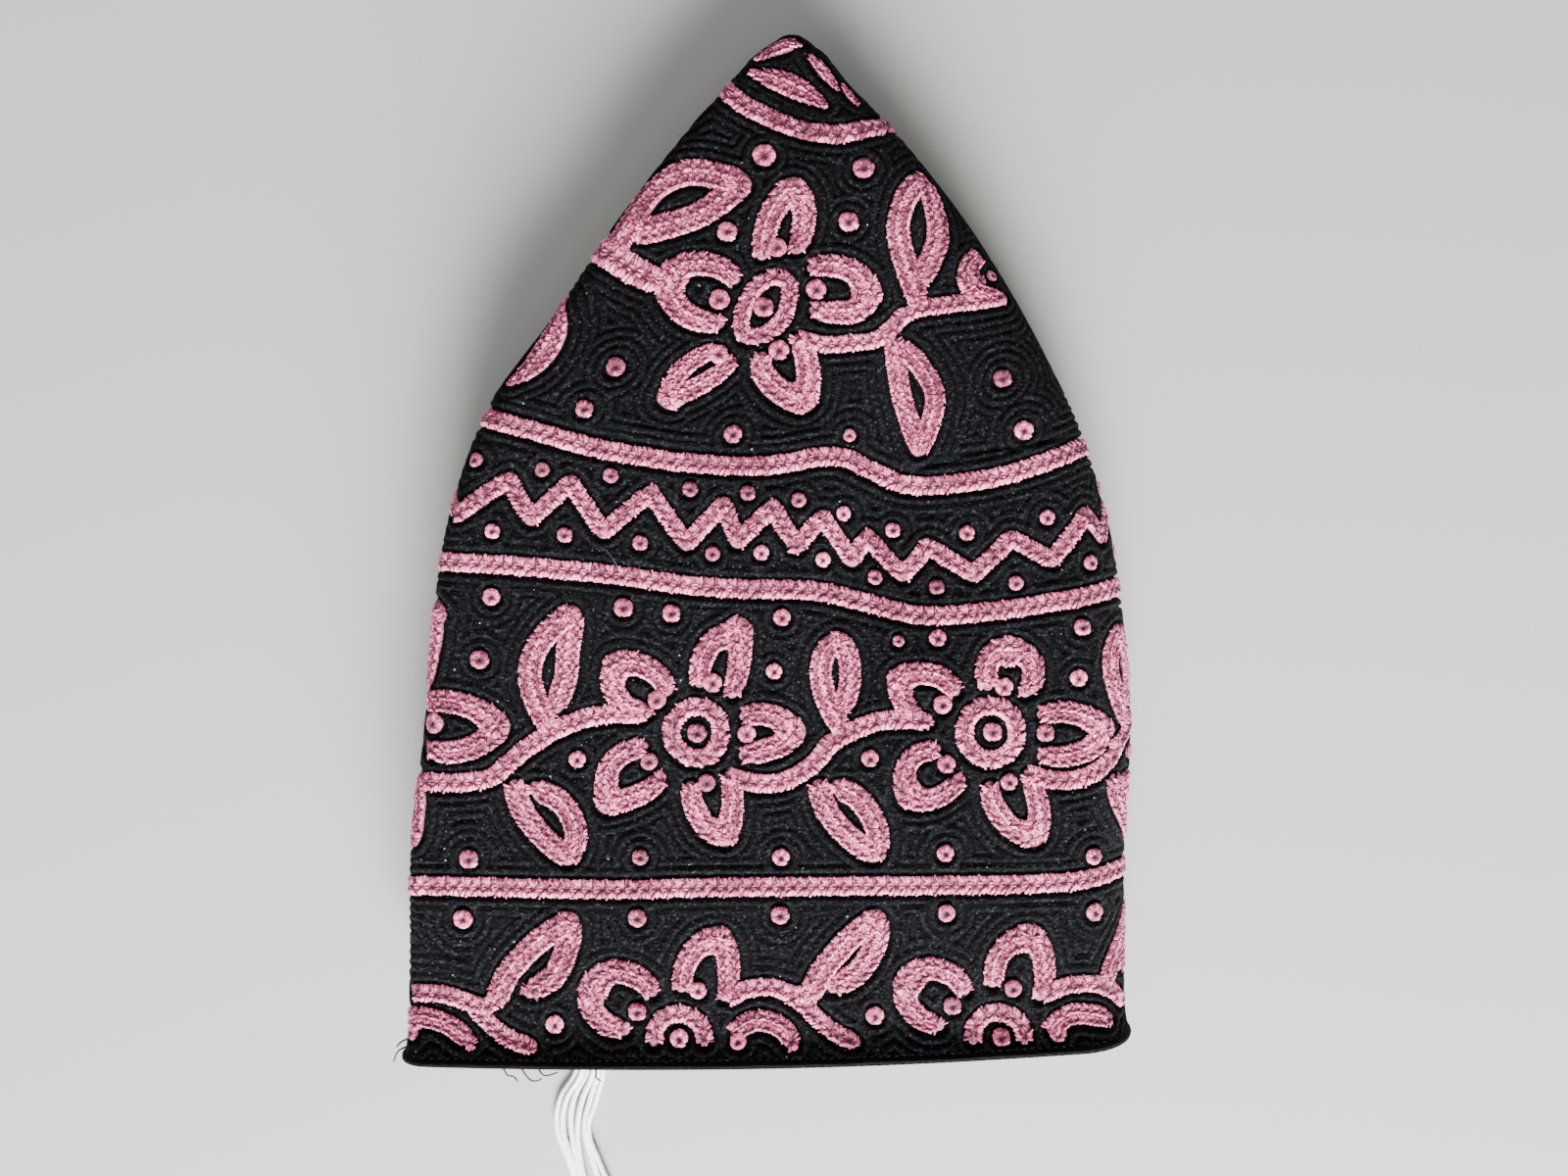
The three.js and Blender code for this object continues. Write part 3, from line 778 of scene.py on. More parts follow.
def to_pink(share, up, place):
    """How far in mm each point of the cloth is from the nearest pink motif's edge."""
    keys = spread_key(share, up, place)
    distance = np.empty(len(keys))
    for number, key in enumerate(keys):
        distance[number] = min(d - pink_halves[i] for _, i, d in pink_tree.find_n(key, 3))
    return distance


# The quilting: lines of black machine stitch follow the pink motifs in even steps, and the
# cloth between them stands up in soft ridges. The cloth is one layer with its own backing.
ECHO_STEP = 1.75
GUTTER = 0.5
RIDGE = 0.8
GROOVE_DEPTH = 0.45
POLE = 208  # the crown's sheets close to a point above this height
CROWN_SEAM = (0.45, 0.55)  # how deep and how wide each seam lies in the cloth
WALL_SEAM = (0.3, 0.5)
SEAM_PIXEL = (604, 750)
seam_share = on_cloth([SEAM_PIXEL])[0, 0]


def quilt_height(distance, share, up):
    """How far the cloth stands out, in mm, at a distance from the pink motifs."""
    phase = (distance - GUTTER) / ECHO_STEP
    ridge = RIDGE * np.sqrt(np.abs(np.sin(np.pi * phase))) - GROOVE_DEPTH
    fade = 1 - 0.25 * smooth(distance, 5, 9)
    gutter = -0.4 - 0.16 * np.sin(np.pi * np.clip(distance, 0, GUTTER) / GUTTER)
    outside = np.where(distance < GUTTER, gutter, ridge * fade)
    inside = -0.1 + 0.22 * smooth(-distance, 0, 0.7)
    height = np.where(distance > 0, outside, inside)
    crown_seam = np.exp(-(((up - WALL_HEIGHT) / CROWN_SEAM[1]) ** 2))
    from_seam = (share - seam_share) * CLOTH_ROUND
    wall_seam = np.exp(-((from_seam / WALL_SEAM[1]) ** 2)) * (up < WALL_HEIGHT)
    return height - CROWN_SEAM[0] * crown_seam - WALL_SEAM[0] * wall_seam


def flat_grid(name, columns, rows):
    """A grid, and how far along it and up it each vertex lies, from 0 to 1."""
    bm = bmesh.new()
    bmesh.ops.create_grid(bm, x_segments=columns, y_segments=rows, size=0.5)
    mesh = bpy.data.meshes.new(name)
    bm.to_mesh(mesh)
    bm.free()
    flat = np.empty(len(mesh.vertices) * 3)
    mesh.vertices.foreach_get("co", flat)
    return mesh, flat.reshape(-1, 3) + 0.5


def laid_grid(mesh, place, uv_name, uv, material):
    """A piece of the cap from a grid: its vertices in mm, its own UV map, fabric and slot."""
    mesh.vertices.foreach_set("co", (place * MM).ravel())
    corner = np.empty(len(mesh.loops), dtype=np.int32)
    mesh.loops.foreach_get("vertex_index", corner)
    layer = mesh.uv_layers.new(name=uv_name)
    layer.data.foreach_set("uv", (uv[corner] * MM).ravel())
    mesh.polygons.foreach_set("use_smooth", np.ones(len(mesh.polygons), dtype=bool))
    mesh.materials.append(material)
    mesh.update()
    return add_piece(mesh)


def sheet_of(name, shares, heights, out, material, quilted=True):
    """A sheet of cloth over the given shares and heights, standing out from the cloth's middle."""
    mesh, flat = flat_grid(name, len(shares) - 1, len(heights) - 1)
    share = np.interp(flat[:, 0], np.linspace(0, 1, len(shares)), shares)
    up = np.interp(flat[:, 1], np.linspace(0, 1, len(heights)), heights)
    place = cloth_point(share, up, out)
    if quilted:
        distance = to_pink(share, up, place)
        place = cloth_point(share, up, out + quilt_height(distance, share, up))
        field = mesh.attributes.new("to_pink", "FLOAT", "POINT")
        field.data.foreach_set("value", distance)
    if heights[-1] > POLE:
        tip = cloth_point(np.linspace(0, 1, 60), heights[-1], out).mean(axis=0)
        place[up > heights[-1] - 0.01] = tip
    uv = np.column_stack([share * CLOTH_ROUND, up])
    return laid_grid(mesh, off_the_floor(place, 0.35), "cloth", uv, material)


def math_node(material, operation, *inputs):
    """A maths node on the given values or node outputs."""
    node = material.node_tree.nodes.new("ShaderNodeMath")
    node.operation = operation
    for socket, value in zip(node.inputs, inputs):
        if isinstance(value, (int, float)):
            socket.default_value = value
        else:
            join_nodes(material, value, socket)
    return node.outputs[0]


def mix_node(material, factor, first, second):
    """A mix of two colours. Each is a colour or a node output."""
    node = material.node_tree.nodes.new("ShaderNodeMix")
    node.data_type = "RGBA"
    join_nodes(material, factor, node.inputs[0])
    for socket, value in ((node.inputs[6], first), (node.inputs[7], second)):
        if isinstance(value, tuple):
            socket.default_value = (*value, 1)
        else:
            join_nodes(material, value, socket)
    return node.outputs[2]


def cells_node(material, coords, scale):
    """How far each place is from the nearest of many scattered points."""
    cells = material.node_tree.nodes.new("ShaderNodeTexVoronoi")
    cells.inputs["Scale"].default_value = scale
    join_nodes(material, coords, cells.inputs["Vector"])
    return cells.outputs["Distance"]


def quilted_cotton():
    """Black cotton: near black as painted shade along the quilting's grooves and beside the pink, speckled
    grey as painted highlight on its ridges, with the needle's dotted marks in the grooves, a little white
    lint, and rose ground under the stitches, darker as painted shade between the strands."""
    material, shader = cloth_material("black_cotton", (0.006, 0.006, 0.008), 0.95, 0.015)
    shader.inputs["Specular IOR Level"].default_value = 0.07
    coords = object_coords(material)
    field = material.node_tree.nodes.new("ShaderNodeAttribute")
    field.attribute_name = "to_pink"
    distance = field.outputs["Fac"]
    phase = math_node(material, "MULTIPLY_ADD", distance, 1 / ECHO_STEP, -GUTTER / ECHO_STEP)
    ridge = math_node(material, "PINGPONG", phase, 0.5)
    beside_pink = math_node(material, "MULTIPLY", distance, 0.9)
    beside_pink = math_node(material, "SMOOTH_MIN", beside_pink, 0.5, 0.2)
    ridge = math_node(material, "MINIMUM", ridge, beside_pink)
    threads = noise_node(material, coords, 1500, 4)
    # Painted highlight: the ridges get this speckled grey, lighter than the grooves, standing in for light on
    # the ridge tops and on the weave.
    speckle_and_ridge_highlight = ramp_node(material, threads, [
        (0.36, (0.0009, 0.0009, 0.0014)), (0.5, (0.0024, 0.0023, 0.0037)), (0.6, (0.0066, 0.0064, 0.0088)),
        (0.74, (0.03, 0.03, 0.035)),
    ])
    # Painted shade: the grooves and the gutter beside the pink motifs are made near black.
    groove_shade = ramp_node(material, ridge, [(0.06, (0, 0, 0)), (0.3, (1, 1, 1))])
    cloth = mix_node(material, groove_shade, (0.0005, 0.0005, 0.0009), speckle_and_ridge_highlight)
    marks = math_node(material, "LESS_THAN", cells_node(material, coords, 950), 0.2)
    in_groove = math_node(material, "LESS_THAN", ridge, 0.16)
    marks = math_node(material, "MULTIPLY", marks, in_groove)
    cloth = mix_node(material, marks, cloth, (0.03, 0.03, 0.036))
    lint = math_node(material, "LESS_THAN", cells_node(material, coords, 330), 0.062)
    some = math_node(material, "GREATER_THAN", noise_node(material, coords, 75, 1), 0.53)
    lint = math_node(material, "MULTIPLY", lint, some)
    cloth = mix_node(material, lint, cloth, (0.2, 0.2, 0.22))
    off_pink = math_node(material, "MULTIPLY_ADD", distance, 1, 0.5)
    off_pink = ramp_node(material, off_pink, [(0.24, (0, 0, 0)), (0.38, (1, 1, 1))])
    # Rose ground under the stitches, so that pink shows between the strands; its darker pink is painted shade
    # in those gaps.
    rose = ramp_node(material, noise_node(material, coords, 1300, 3), [
        (0.38, (0.16, 0.035, 0.06)), (0.62, (0.5, 0.16, 0.24)),
    ])
    join_nodes(material, mix_node(material, off_pink, rose, cloth), shader.inputs["Base Color"])
    weave = bump_node(material, shader, threads, 0.0005, 1.0)
    bump_node(material, shader, cells_node(material, coords, 1150), 0.0002, 0.6, weave)
    return material


def even_steps(low, high, step):
    """Evenly spaced values from low to high, about a step apart."""
    return np.linspace(low, high, max(2, int(round((high - low) / step)) + 1))


FINE = 0.47  # the step between the points of a sheet that shows in the photo
COARSE = 1.3  # the step on the layers underneath
BACKING_STEP = 4
SHOWN = (-0.036, 0.292)  # the top layer, the spine and the upper left fold
SHOWN_PART = SHOWN[1] - SHOWN[0]
WALL_SPREAD = 548  # the length round the cap over which a sheet's steps are counted
CROWN_SPREAD, CROWN_SPREAD_UNDER = 440, 420
CROWN_EVEN = 203.5  # the crown's sheets have even steps up to here, and these to the point
CROWN_STEPS = [204.2, 204.9, 205.6, 206.3, 207, 207.6, 208.3, TIP_HEIGHT]
CROWN_STEPS_UNDER = [204.9, 206.3, 207, 207.6, 208.3, TIP_HEIGHT]
cotton = quilted_cotton()
wall = (TAPE + PIECE_GAP, WALL_HEIGHT)
wall_front = sheet_of(
    "wall_top_layer", even_steps(*SHOWN, FINE / WALL_SPREAD), even_steps(*wall, FINE),
    CLOTH / 2, cotton,
)
wall_rest = sheet_of(
    "wall_folded_under", even_steps(SHOWN[1], SHOWN[0] + 1, COARSE / WALL_SPREAD),
    even_steps(*wall, COARSE), CLOTH / 2, cotton,
)
wall_inside = sheet_of(
    "wall_backing", np.linspace(1, 0, 180), even_steps(*wall, BACKING_STEP),
    -CLOTH / 2, cotton, quilted=False,
)
for sheet, part_round in ((wall_front, SHOWN_PART), (wall_rest, 1 - SHOWN_PART), (wall_inside, 1)):
    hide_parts("side_wall")

crown_front = sheet_of(
    "crown_top_layer", even_steps(*SHOWN, FINE / CROWN_SPREAD),
    np.concatenate([even_steps(WALL_HEIGHT, CROWN_EVEN, FINE), CROWN_STEPS]), CLOTH / 2, cotton,
)
crown_rest = sheet_of(
    "crown_folded_under", even_steps(SHOWN[1], SHOWN[0] + 1, COARSE / CROWN_SPREAD_UNDER),
    np.concatenate([even_steps(WALL_HEIGHT, CROWN_EVEN, COARSE), CROWN_STEPS_UNDER]),
    CLOTH / 2, cotton,
)
crown_inside = sheet_of(
    "crown_backing", np.linspace(1, 0, 150), even_steps(WALL_HEIGHT, 205, BACKING_STEP),
    -CLOTH / 2, cotton, quilted=False,
)
for sheet, part_round in ((crown_front, SHOWN_PART), (crown_rest, 1 - SHOWN_PART), (crown_inside, 1)):
    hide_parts("crown")


# The pink chain stitch. Soft cotton yarn comes up through a needle hole and goes down again at
# the row's edges, so fine strands fan out from a small pit on the row's middle line, painted dark as shade,
# and a few run on to the next pit.
PITCH = 2.2
HALF_WIDTH = 1.85
STITCH_RISE = 0.62
LINK_KINDS = 6
DOT_KINDS = 4
HIDDEN_PITCH = 1.7  # links are this much longer where none of the row shows
ROW_MARGIN = 0.9  # a row of a motif ends this far before its line does
LOOK_AHEAD = 0.6
rng = np.random.default_rng(7)


def strand_fan(strands, segments):
    """Ridged strands of yarn. Each has a start, an end, a width at its end and a tone."""
    bm = bmesh.new()
    tones_shade_and_highlight = []
    for start, end, width, tone in strands:
        made = bmesh.ops.create_grid(bm, x_segments=segments, y_segments=2, size=0.5)["verts"]
        start, end = np.array(start), np.array(end)
        way = end - start
        across = np.array([-way[1], way[0]]) / (np.hypot(*way) + 1e-9)
        for vert in made:
            s, v = vert.co.x + 0.5, vert.co.y * 2
            flat = start + way * s + across * v * width * (0.45 + 0.6 * s) / 2
            arch = math.sin(math.pi * (0.1 + 0.66 * s)) - 0.42 * s**4
            vert.co = (flat[0], flat[1], STITCH_RISE * arch * (1 + 0.5 * tone) - 0.14 * v * v)
            # Painted shade and highlight: a strand is darkest at its pit and along its two edges, and pale
            # where it stands up further out.
            tones_shade_and_highlight.append(tone + min(0.9, 1.7 * s) - 0.3 * v * v)
    mesh = bpy.data.meshes.new("fan")
    bm.to_mesh(mesh)
    bm.free()
    points = np.empty(len(mesh.vertices) * 3)
    mesh.vertices.foreach_get("co", points)
    faces = np.empty(len(mesh.loops), dtype=np.int64)
    mesh.loops.foreach_get("vertex_index", faces)
    bpy.data.meshes.remove(mesh)
    return points.reshape(-1, 3), faces.reshape(-1, 4), np.array(tones_shade_and_highlight)


def link_kind(strands_a_side, segments):
    """One link: strands fan out from its pit to both edges, and two run on to the next pit."""
    strands = []
    spacing = PITCH / strands_a_side
    for side in (-1, 1):
        for k in range(strands_a_side):
            at_edge = (k + 0.5) * spacing - PITCH / 2 + rng.normal(0, 0.12)
            reach = HALF_WIDTH * (1.02 + rng.normal(0, 0.08))
            start = (0.3 * at_edge + 0.1, side * rng.uniform(0.08, 0.34))
            end = (at_edge - 0.3, side * reach)
            strands.append((start, end, spacing * 1.25, rng.normal(0, 0.2)))
        strands.append((
            (0.25, side * 0.1), (PITCH * 0.78, side * (0.42 + rng.normal(0, 0.05))), 0.42, rng.normal(0, 0.1),
        ))
    return strand_fan(strands, segments)


def dot_kind():
    """A dot: strands run outwards from its middle all round."""
    strands = []
    count = 13
    turn = rng.uniform(0, 1)
    for k in range(count):
        angle = 2 * math.pi * (k + turn) / count
        reach = HALF_WIDTH * (1 + rng.normal(0, 0.05))
        start = (0.22 * math.cos(angle), 0.22 * math.sin(angle))
        end = (reach * math.cos(angle + 0.25), reach * math.sin(angle + 0.25))
        strands.append((start, end, 1.05, rng.normal(-0.17, 0.16)))
    return strand_fan(strands, 3)


SHOWN_MIDDLE = (SHOWN[0] + SHOWN[1]) / 2


def is_shown(share):
    """Whether a place shows in the photo, or lies on a layer underneath."""
    return np.abs((share - SHOWN_MIDDLE + 0.5) % 1 - 0.5) < SHOWN_PART / 2


def along_line(line, length, steps):
    """The shares and heights on a line at so many mm along it."""
    return np.column_stack([np.interp(steps, length, line[:, k]) for k in (0, 1)])


def stitch_places(row):
    """Where the links of a row go: share, height, direction there, half width and pitch."""
    length = stitched_length(row["line"])
    lanes = 1 if row["kind"] in ("stem", "ring", "band") else 2
    pitch = PITCH * (0.86 if lanes == 2 else 1)
    if not np.any(is_shown(row["line"][:, 0])):
        pitch *= HIDDEN_PITCH
    has_ends = row["kind"] not in ("band", "ring")
    sewn_length = max(length[-1] - ROW_MARGIN, 0.6 * length[-1]) if has_ends else length[-1]
    count = max(1, int(round(sewn_length / pitch)))
    places = []
    for lane in range(lanes):
        steps = np.arange(count) + 0.5 + 0.5 * lane * (lanes - 1)
        steps = steps * sewn_length / (count + 0.5 * (lanes - 1))
        steps = np.minimum(steps + rng.normal(0, 0.12, count), length[-1])
        ahead = along_line(row["line"], length, np.minimum(steps + LOOK_AHEAD, length[-1]))
        behind = along_line(row["line"], length, np.maximum(steps - LOOK_AHEAD, 0))
        half = np.interp(steps, length, row["widths"]) / 2
        if has_ends:
            ends = np.minimum(1, (np.minimum(steps, sewn_length - steps) + 0.3) / half)
            half = half * np.sqrt(1 - 0.8 * (1 - ends) ** 2)
        aside = (lane - (lanes - 1) / 2) * half
        pitches = np.full(count, length[-1] / count)
        here = along_line(row["line"], length, steps)
        places.append(np.column_stack([here, ahead - behind, half / lanes, pitches, aside]))
    if has_ends:
        along = [2, len(row["line"]) - 3]
        if row["kind"] != "stem":
            between_ends = (row["line"][0] + row["line"][-1]) / 2
            from_ends = (row["line"] - between_ends) * (CLOTH_ROUND, 1)
            along.append(np.argmax(np.linalg.norm(from_ends, axis=1)))
        for k in along:
            half = row["widths"][k] / 2
            places.append(np.array([[*row["line"][k], *places[0][0, 2:4], half * 0.8, half * 0.95, 0]]))
    return np.concatenate(places)


def on_axes(by_share, by_up, direction):
    """A direction along the cloth, as changes of share and height."""
    a, b, c = (by_share**2).sum(1), (by_share * by_up).sum(1), (by_up**2).sum(1)
    p, q = (by_share * direction).sum(1), (by_up * direction).sum(1)
    bottom = a * c - b * b
    return (p * c - q * b) / bottom, (q * a - p * b) / bottom


def laid_on_cloth(kinds, places, base=CLOTH / 2 + 0.05):
    """Sews a link at each place: share, height, direction, half width, pitch and step aside."""
    share, up = places[:, 0], places[:, 1]
    _, by_share, by_up, normal = cloth_frame(share, up)
    half_width, pitch, aside = (places[:, k, None] for k in (4, 5, 6))
    ahead = by_share * places[:, 2:3] + by_up * places[:, 3:4]
    ahead /= np.linalg.norm(ahead, axis=1, keepdims=True)
    ahead_share, ahead_up = on_axes(by_share, by_up, ahead)
    aside_share, aside_up = on_axes(by_share, by_up, np.cross(normal, ahead))
    which = rng.integers(0, len(kinds), len(places))
    swell = rng.normal(1, 0.13, len(places))
    shift = rng.normal(0, 0.12, len(places))
    parts = []
    for kind, (points, faces, tone) in enumerate(kinds):
        chosen = np.where(which == kind)[0]
        along = points[:, 0] * (pitch[chosen] / PITCH)
        across = points[:, 1] * (half_width[chosen] / HALF_WIDTH) + aside[chosen]
        at_share = share[chosen, None] + along * ahead_share[chosen, None]
        at_share = at_share + across * aside_share[chosen, None]
        at_up = up[chosen, None] + along * ahead_up[chosen, None] + across * aside_up[chosen, None]
        out = base + points[:, 2] * swell[chosen, None]
        place = off_the_floor(cloth_point(at_share, np.clip(at_up, 0.2, TIP_HEIGHT), out), 0.04)
        each = faces + (np.arange(len(chosen)) * len(points))[:, None, None]
        # Each link's tones keep the painted shade and highlight of its strands, shifted at random.
        tones_shade_and_highlight = tone + shift[chosen, None]
        parts.append((place.reshape(-1, 3), each.reshape(-1, 4), tones_shade_and_highlight.ravel()))
    return parts


def joined_stitches(name, parts, material):
    """One piece from arrays of points, faces and tone values with their painted shade and highlight."""
    points, faces, tones_shade_and_highlight, total = [], [], [], 0
    for part_points, part_faces, part_tones_shade_and_highlight in parts:
        points.append(part_points)
        faces.append(part_faces + total)
        tones_shade_and_highlight.append(part_tones_shade_and_highlight)
        total += len(part_points)
    points, faces, tones_shade_and_highlight = np.concatenate(points), np.concatenate(faces), np.concatenate(tones_shade_and_highlight)
    mesh = bpy.data.meshes.new(name)
    mesh.vertices.add(len(points))
    mesh.vertices.foreach_set("co", (points * MM).ravel())
    mesh.loops.add(faces.size)
    mesh.loops.foreach_set("vertex_index", faces.ravel().astype(np.int32))
    mesh.polygons.add(len(faces))
    mesh.polygons.foreach_set("loop_start", np.arange(0, faces.size, faces.shape[1], dtype=np.int32))
    mesh.polygons.foreach_set("use_smooth", np.ones(len(faces), dtype=bool))
    mesh.update(calc_edges=True)
    # The tone attribute holds random tone together with the painted shade and highlight.
    tone = mesh.attributes.new("tone", "FLOAT", "POINT")
    tone.data.foreach_set("value", tones_shade_and_highlight)
    mesh.materials.append(material)
    return add_piece(mesh)


def pink_cotton():
    """Soft pink cotton yarn with random tone: painted highlight, pale, where strands stand up, and painted
    shade, deep rose, in the pits and along strand edges.
    """
    material, shader = cloth_material("pink_cotton", (0.8, 0.4, 0.5), 0.6, 0.3, (1, 0.66, 0.8, 1))
    coords = object_coords(material)
    tone = material.node_tree.nodes.new("ShaderNodeAttribute")
    tone.attribute_name = "tone"
    uneven = math_node(material, "MULTIPLY_ADD", noise_node(material, coords, 1900, 3), 1.5, -0.75)
    faded = math_node(material, "MULTIPLY_ADD", noise_node(material, coords, 45, 2), 0.5, -0.25)
    total = math_node(material, "ADD", tone.outputs["Fac"], uneven)
    total = math_node(material, "ADD", total, faded)
    # The ramp runs from painted shade, deep rose in the pits and gaps, to painted highlight, pale pink on the
    # raised strands.
    color_by(material, shader, total, [
        (0.1, (0.075, 0.009, 0.023)), (0.38, (0.21, 0.032, 0.073)), (0.66, (0.49, 0.08, 0.174)),
        (0.88, (0.84, 0.158, 0.312)), (1.0, (1.0, 0.3, 0.5)),
    ])
    bump_node(material, shader, noise_node(material, coords, 3800, 2), 0.00025, 1.0)
    return material


pink = pink_cotton()
fine_links = [link_kind(7, 2) for _ in range(LINK_KINDS)]
plain_links = [link_kind(3, 2) for _ in range(LINK_KINDS)]
dot_fans = [dot_kind() for _ in range(DOT_KINDS)]


def sewn(name, wanted_rows, wanted_dots):
    """The pink embroidery of one part of the cap."""
    parts = []
    if wanted_rows:
        places = np.concatenate([stitch_places(row) for row in wanted_rows])
        places = places[places[:, 1] > TAPE_HEIGHT + 1]
        shown = is_shown(places[:, 0])
        for links, some in ((fine_links, places[shown]), (plain_links, places[~shown])):
            parts += laid_on_cloth(links, some)
    if wanted_dots:
        places = [
            [*dot["place"], 1, 0, dot["radius"], dot["radius"] * PITCH / HALF_WIDTH, 0]
            for dot in wanted_dots
        ]
        parts += laid_on_cloth(dot_fans, np.array(places), CLOTH / 2 + 0.25)
    return joined_stitches(name, parts, pink)


def part_of(motif):
    """The part of the cap that a row or dot lies on."""
    share, height = motif["line"].mean(axis=0) if "line" in motif else motif["place"]
    if height > WALL_HEIGHT:
        return "crown"
    if height > 88 or motif.get("kind") == "band":
        return "bands"
    side = "" if is_shown(share) else "_under"
    return ("middle_row" if height > 36.5 else "lowest_row") + side


for part in ("crown", "bands", "middle_row", "middle_row_under", "lowest_row", "lowest_row_under"):
    sewn(
        f"embroidery_{part}",
        [row for row in rows if part_of(row) == part],
        [dot for dot in dots if part_of(dot) == part],
    )


# Hem tape: a narrow band of black cotton, folded over the wall's raw edge and sewn through
# near its lower edge. On the left it was turned the other way, so that row doesn't show there.
TAPE_OUTLINE = [  # height, and how far out of the cloth's middle, from the inside to the outside
    (4.7, -0.9), (4.95, -1.5), (4.6, -2.0), (3.2, -2.12), (1.8, -2.12), (0.9, -1.95), (0.35, -1.55),
    (-0.05, -0.85), (-0.25, 0), (-0.1, 0.65), (0.3, 1.2), (0.75, 1.5), (1.2, 1.62), (1.6, 1.48),
    (1.95, 1.2), (2.3, 1.48), (2.8, 1.7), (3.6, 1.74), (4.3, 1.62), (4.8, 1.3), (5.05, 0.9), (4.95, 0.7),
]
TURNED_PIXEL = (617, 1085)
TAPE_STITCH = 1.55
STITCH_ROW_HEIGHT = 1.95
EDGE_ROW_HEIGHT = 5.7
TURNED_PART = 0.93  # how far round the cap the row runs on the tape
PLAIN_FROM, PLAIN_TO = -39, -36  # mm from the left fold, where the row's dip fades out
DIP_FILL = 0.38
OUTER_EDGE = 15  # from this point of the outline on, the tape's edge waves a little


def tape_cotton():
    """Black twill tape with fine ribs along its length."""
    material, shader = cloth_material("black_tape", (0.006, 0.007, 0.009), 0.85, 0.015)
    shader.inputs["Specular IOR Level"].default_value = 0.08
    coords = object_coords(material)
    fibre = noise_node(material, coords, 1900, 4)
    color_by(material, shader, fibre, [
        (0.35, (0.0007, 0.0008, 0.001)), (0.55, (0.0018, 0.002, 0.0025)), (0.72, (0.0085, 0.009, 0.0102)),
    ])
    uv = material.node_tree.nodes.new("ShaderNodeUVMap")
    uv.uv_map = "tape"
    ribs = material.node_tree.nodes.new("ShaderNodeTexWave")
    ribs.bands_direction = "Y"
    ribs.inputs["Scale"].default_value = 520
    ribs.inputs["Distortion"].default_value = 1.2
    join_nodes(material, uv.outputs["UV"], ribs.inputs["Vector"])
    first_bump = bump_node(material, shader, ribs.outputs["Fac"], 0.00008, 0.7)
    bump_node(material, shader, fibre, 0.0002, 0.8, first_bump)
    return material


def thread_black():
    """Black sewing thread."""
    material, shader = cloth_material("black_thread", (0.02, 0.022, 0.026), 0.75)
    twist = noise_node(material, object_coords(material), 2600, 2)
    color_by(material, shader, twist, [(0.35, (0.006, 0.0065, 0.008)), (0.65, (0.04, 0.043, 0.05))])
    return material


turned_share = on_cloth([TURNED_PIXEL])[0, 0]
tape_mesh, grid = flat_grid("hem_tape_sewn", 420, len(TAPE_OUTLINE) - 1)
tape_share = turned_share + grid[:, 0]
outline = np.array(TAPE_OUTLINE)
station = grid[:, 1] * (len(outline) - 1)
tape_up = np.interp(station, np.arange(len(outline)), outline[:, 0])
tape_out = np.interp(station, np.arange(len(outline)), outline[:, 1])
from_left_fold = (tape_share - turned_share - 1) * CLOTH_ROUND
in_dip = np.exp(-(((tape_up - STITCH_ROW_HEIGHT) / 0.5) ** 2)) * (tape_out > 0)
tape_out += DIP_FILL * smooth(from_left_fold, PLAIN_FROM, PLAIN_TO) * in_dip
tape_up += 0.16 * np.sin(tape_share * 230) * np.sin(tape_share * 71) * (station > OUTER_EDGE)
tape = laid_grid(
    tape_mesh, off_the_floor(cloth_point(tape_share, tape_up, tape_out), 0.1), "tape",
    np.column_stack([tape_share * CLOTH_ROUND, station * 0.65]), tape_cotton(),
)
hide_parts("hem_tape")

one_stitch = [strand_fan([((-0.62, 0), (0.55, 0), 0.5, 0)], 3)]
sewing = []
for height, base, start, end in (
    (STITCH_ROW_HEIGHT, 1.18, turned_share, turned_share + TURNED_PART),
    (EDGE_ROW_HEIGHT, CLOTH / 2 - 0.15, 0, 1),
):
    count = int((end - start) * CLOTH_ROUND / TAPE_STITCH)
    stitches = np.tile([0.0, height, 1, 0, 1, 2, 0], (count, 1))
    stitches[:, 0] = start + (end - start) * (np.arange(count) + 0.5) / count
    sewing += laid_on_cloth(one_stitch, stitches, base)
black_thread = thread_black()
joined_stitches("hem_stitches", sewing, black_thread)

# Loose ends: bits of the black sewing thread stick out at the tape, and short fuzz stands on
# the worn folds and on the tip. Each is a fine thread, fixed at its root.
LOOSE_ENDS = [  # pixels of the photograph and heights in mm along each thread
    [(420, 1066, 23), (409, 1070, 22), (404, 1075, 21.5), (402, 1083, 20.5)],
    [(422, 1058, 23), (413, 1061, 22.5), (408, 1064, 22), (405, 1068, 21.5)],
    [(512, 1086, 23.5), (517, 1099, 22.5), (524, 1097, 22), (528, 1103, 21)],
    [(530, 1086, 23.5), (538, 1102, 22.5), (549, 1104, 21.8), (553, 1100, 21.5)],
    [(548, 1087, 23.5), (552, 1097, 22.8), (560, 1098, 22.4), (569, 1094, 22.6)],
    [(606, 1084, 24), (609, 1094, 23.4), (607, 1100, 22.6), (613, 1103, 22)],
    [(655, 571, 24), (650, 580, 24.6), (653, 590, 24.2)],
    [(616, 558, 24), (624, 566, 24.8), (630, 578, 24.4)],
]
END_RADIUS = 0.2
FUZZ = 150
FUZZ_RADIUS = 0.055


def over_pixel(pixel_x, pixel_y, height):
    """The place in mm that the camera sees at a pixel of the photograph, at a given height."""
    per_pixel = 2 * math.tan(VIEW_ANGLE / 2) / PHOTO_WIDTH * (VIEW_HEIGHT - height)
    return (
        (pixel_x - PHOTO_WIDTH / 2) * per_pixel + VIEW_X,
        (PHOTO_HEIGHT / 2 - pixel_y) * per_pixel + VIEW_Y,
        height,
    )


def fine_threads(name, paths, radius):
    """Fine black threads along the given paths, as one piece."""
    data = thread_curve(name, radius, 0, 4, black_thread)
    for path in paths:
        spline = data.splines.new("NURBS")
        spline.points.add(len(path) - 1)
        spline.use_endpoint_u = True
        spline.order_u = 3
        for knot, point in zip(spline.points, path):
            knot.co = (*(Vector(point) * MM), 1)
    add_piece(data)


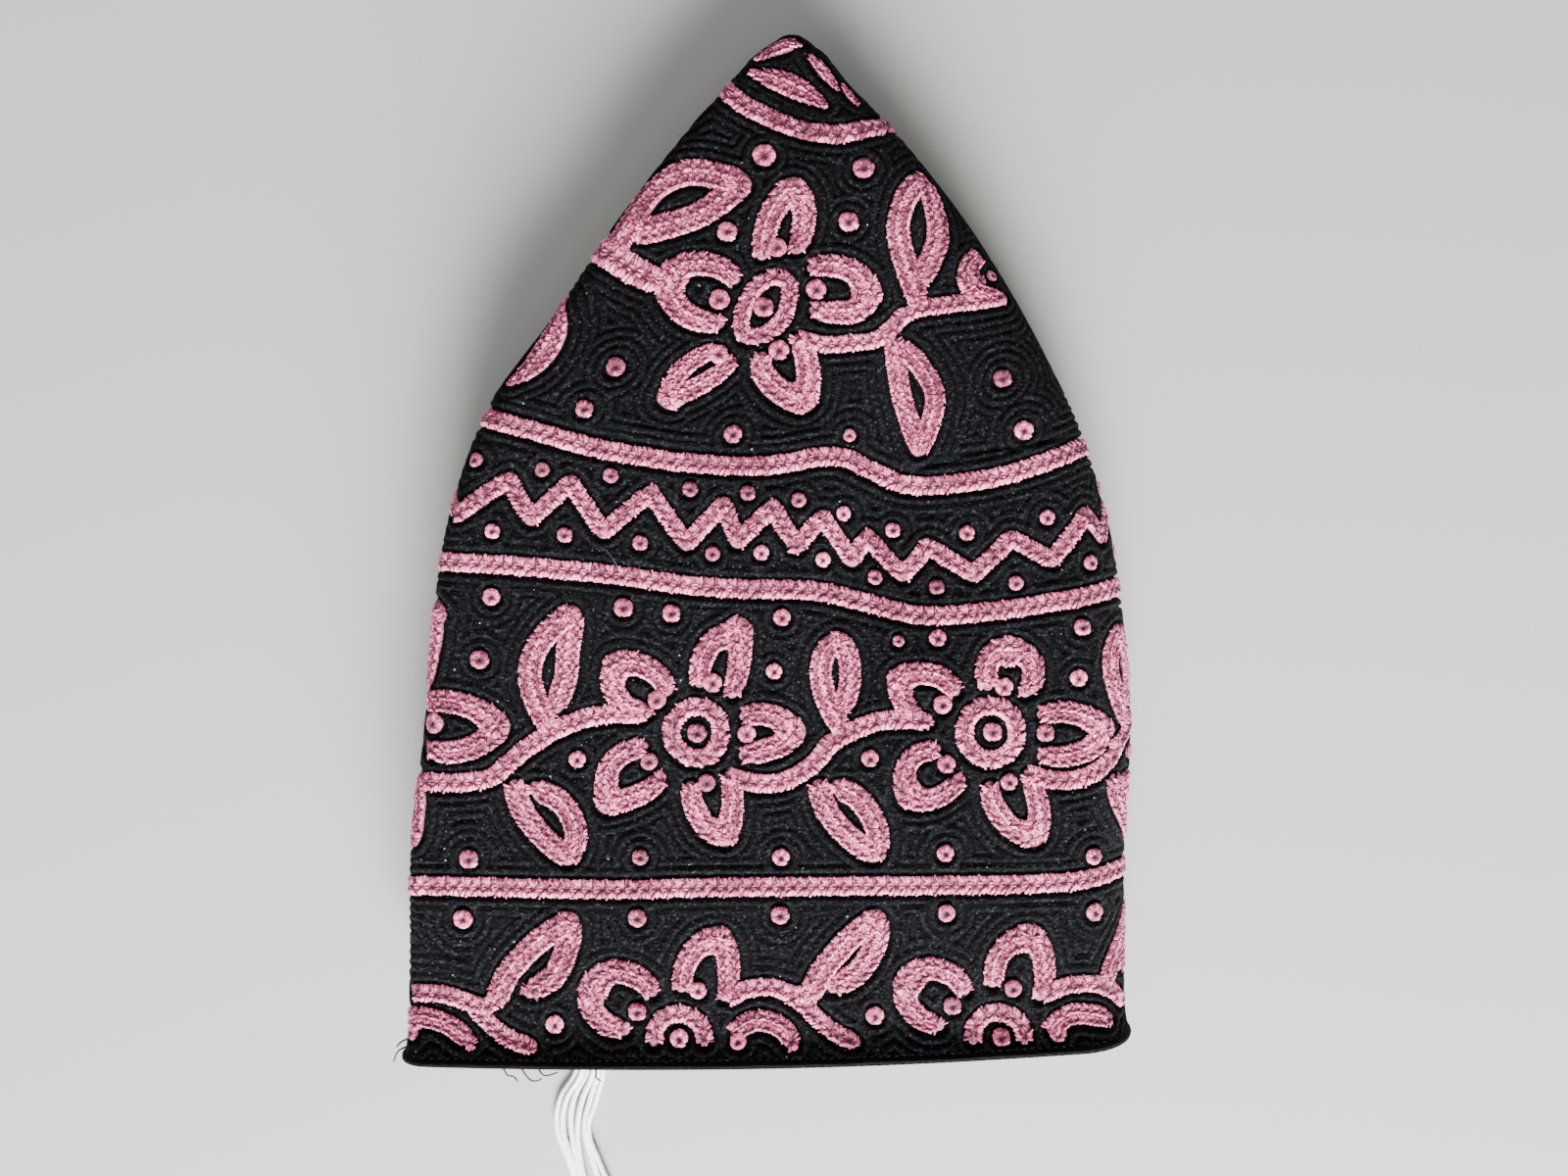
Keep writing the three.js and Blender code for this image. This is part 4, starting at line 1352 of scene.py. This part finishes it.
end_paths = [[over_pixel(*knot) for knot in end] for end in LOOSE_ENDS]
fine_threads("loose_thread_ends", end_paths, END_RADIUS)
left_fuzz = rng.uniform(-0.03, 0.012, FUZZ // 2)
right_fuzz = rng.uniform(0.235, 0.262, FUZZ - FUZZ // 2)
fuzz_share = np.concatenate([left_fuzz, right_fuzz])
fuzz_up = rng.uniform(6, 204, FUZZ)
root, _, _, normal = cloth_frame(fuzz_share, fuzz_up)
lean = rng.normal(0, 0.6, (FUZZ, 3)) + normal
lean /= np.linalg.norm(lean, axis=1, keepdims=True)
turn = rng.normal(0, 0.5, (FUZZ, 3))
reach = rng.uniform(0.6, 1.7, (FUZZ, 1))
fuzz = np.stack([root - 0.3 * normal, root + lean * reach * 0.55, root + (lean + turn) * reach], axis=1)
fine_threads("fold_fuzz", off_the_floor(fuzz, 0.1), FUZZ_RADIUS)


# Floor and light: a plain pale floor, and soft light from the lower right of the photo.
FLOOR_HALF = 1.5  # metres
bm = bmesh.new()
bmesh.ops.create_grid(bm, x_segments=1, y_segments=1, size=FLOOR_HALF)
floor_mesh = bpy.data.meshes.new("floor")
bm.to_mesh(floor_mesh)
bm.free()
floor = bpy.data.objects.new("floor", floor_mesh)
bpy.context.collection.objects.link(floor)
floor_material, floor_shader = cloth_material("floor_paint", (0.33, 0.334, 0.31), 0.7)
floor_mesh.materials.append(floor_material)

world = bpy.data.worlds.new("world")
world.use_nodes = True
sky = world.node_tree.nodes["Background"]
sky.inputs["Color"].default_value = (0.93, 0.97, 1, 1)
sky.inputs["Strength"].default_value = 0.29
bpy.context.scene.world = world

for name, place, size, power in (
    ("window", (0.14, -1.0, 0.48), 0.55, 110),
    ("room", (-0.3, -0.4, 1.3), 1.4, 14),
):
    light_data = bpy.data.lights.new(name, "AREA")
    light_data.size = size
    light_data.energy = power
    light = bpy.data.objects.new(name, light_data)
    light.location = place
    light.rotation_euler = (-Vector(place)).to_track_quat("-Z", "Y").to_euler()
    bpy.context.collection.objects.link(light)
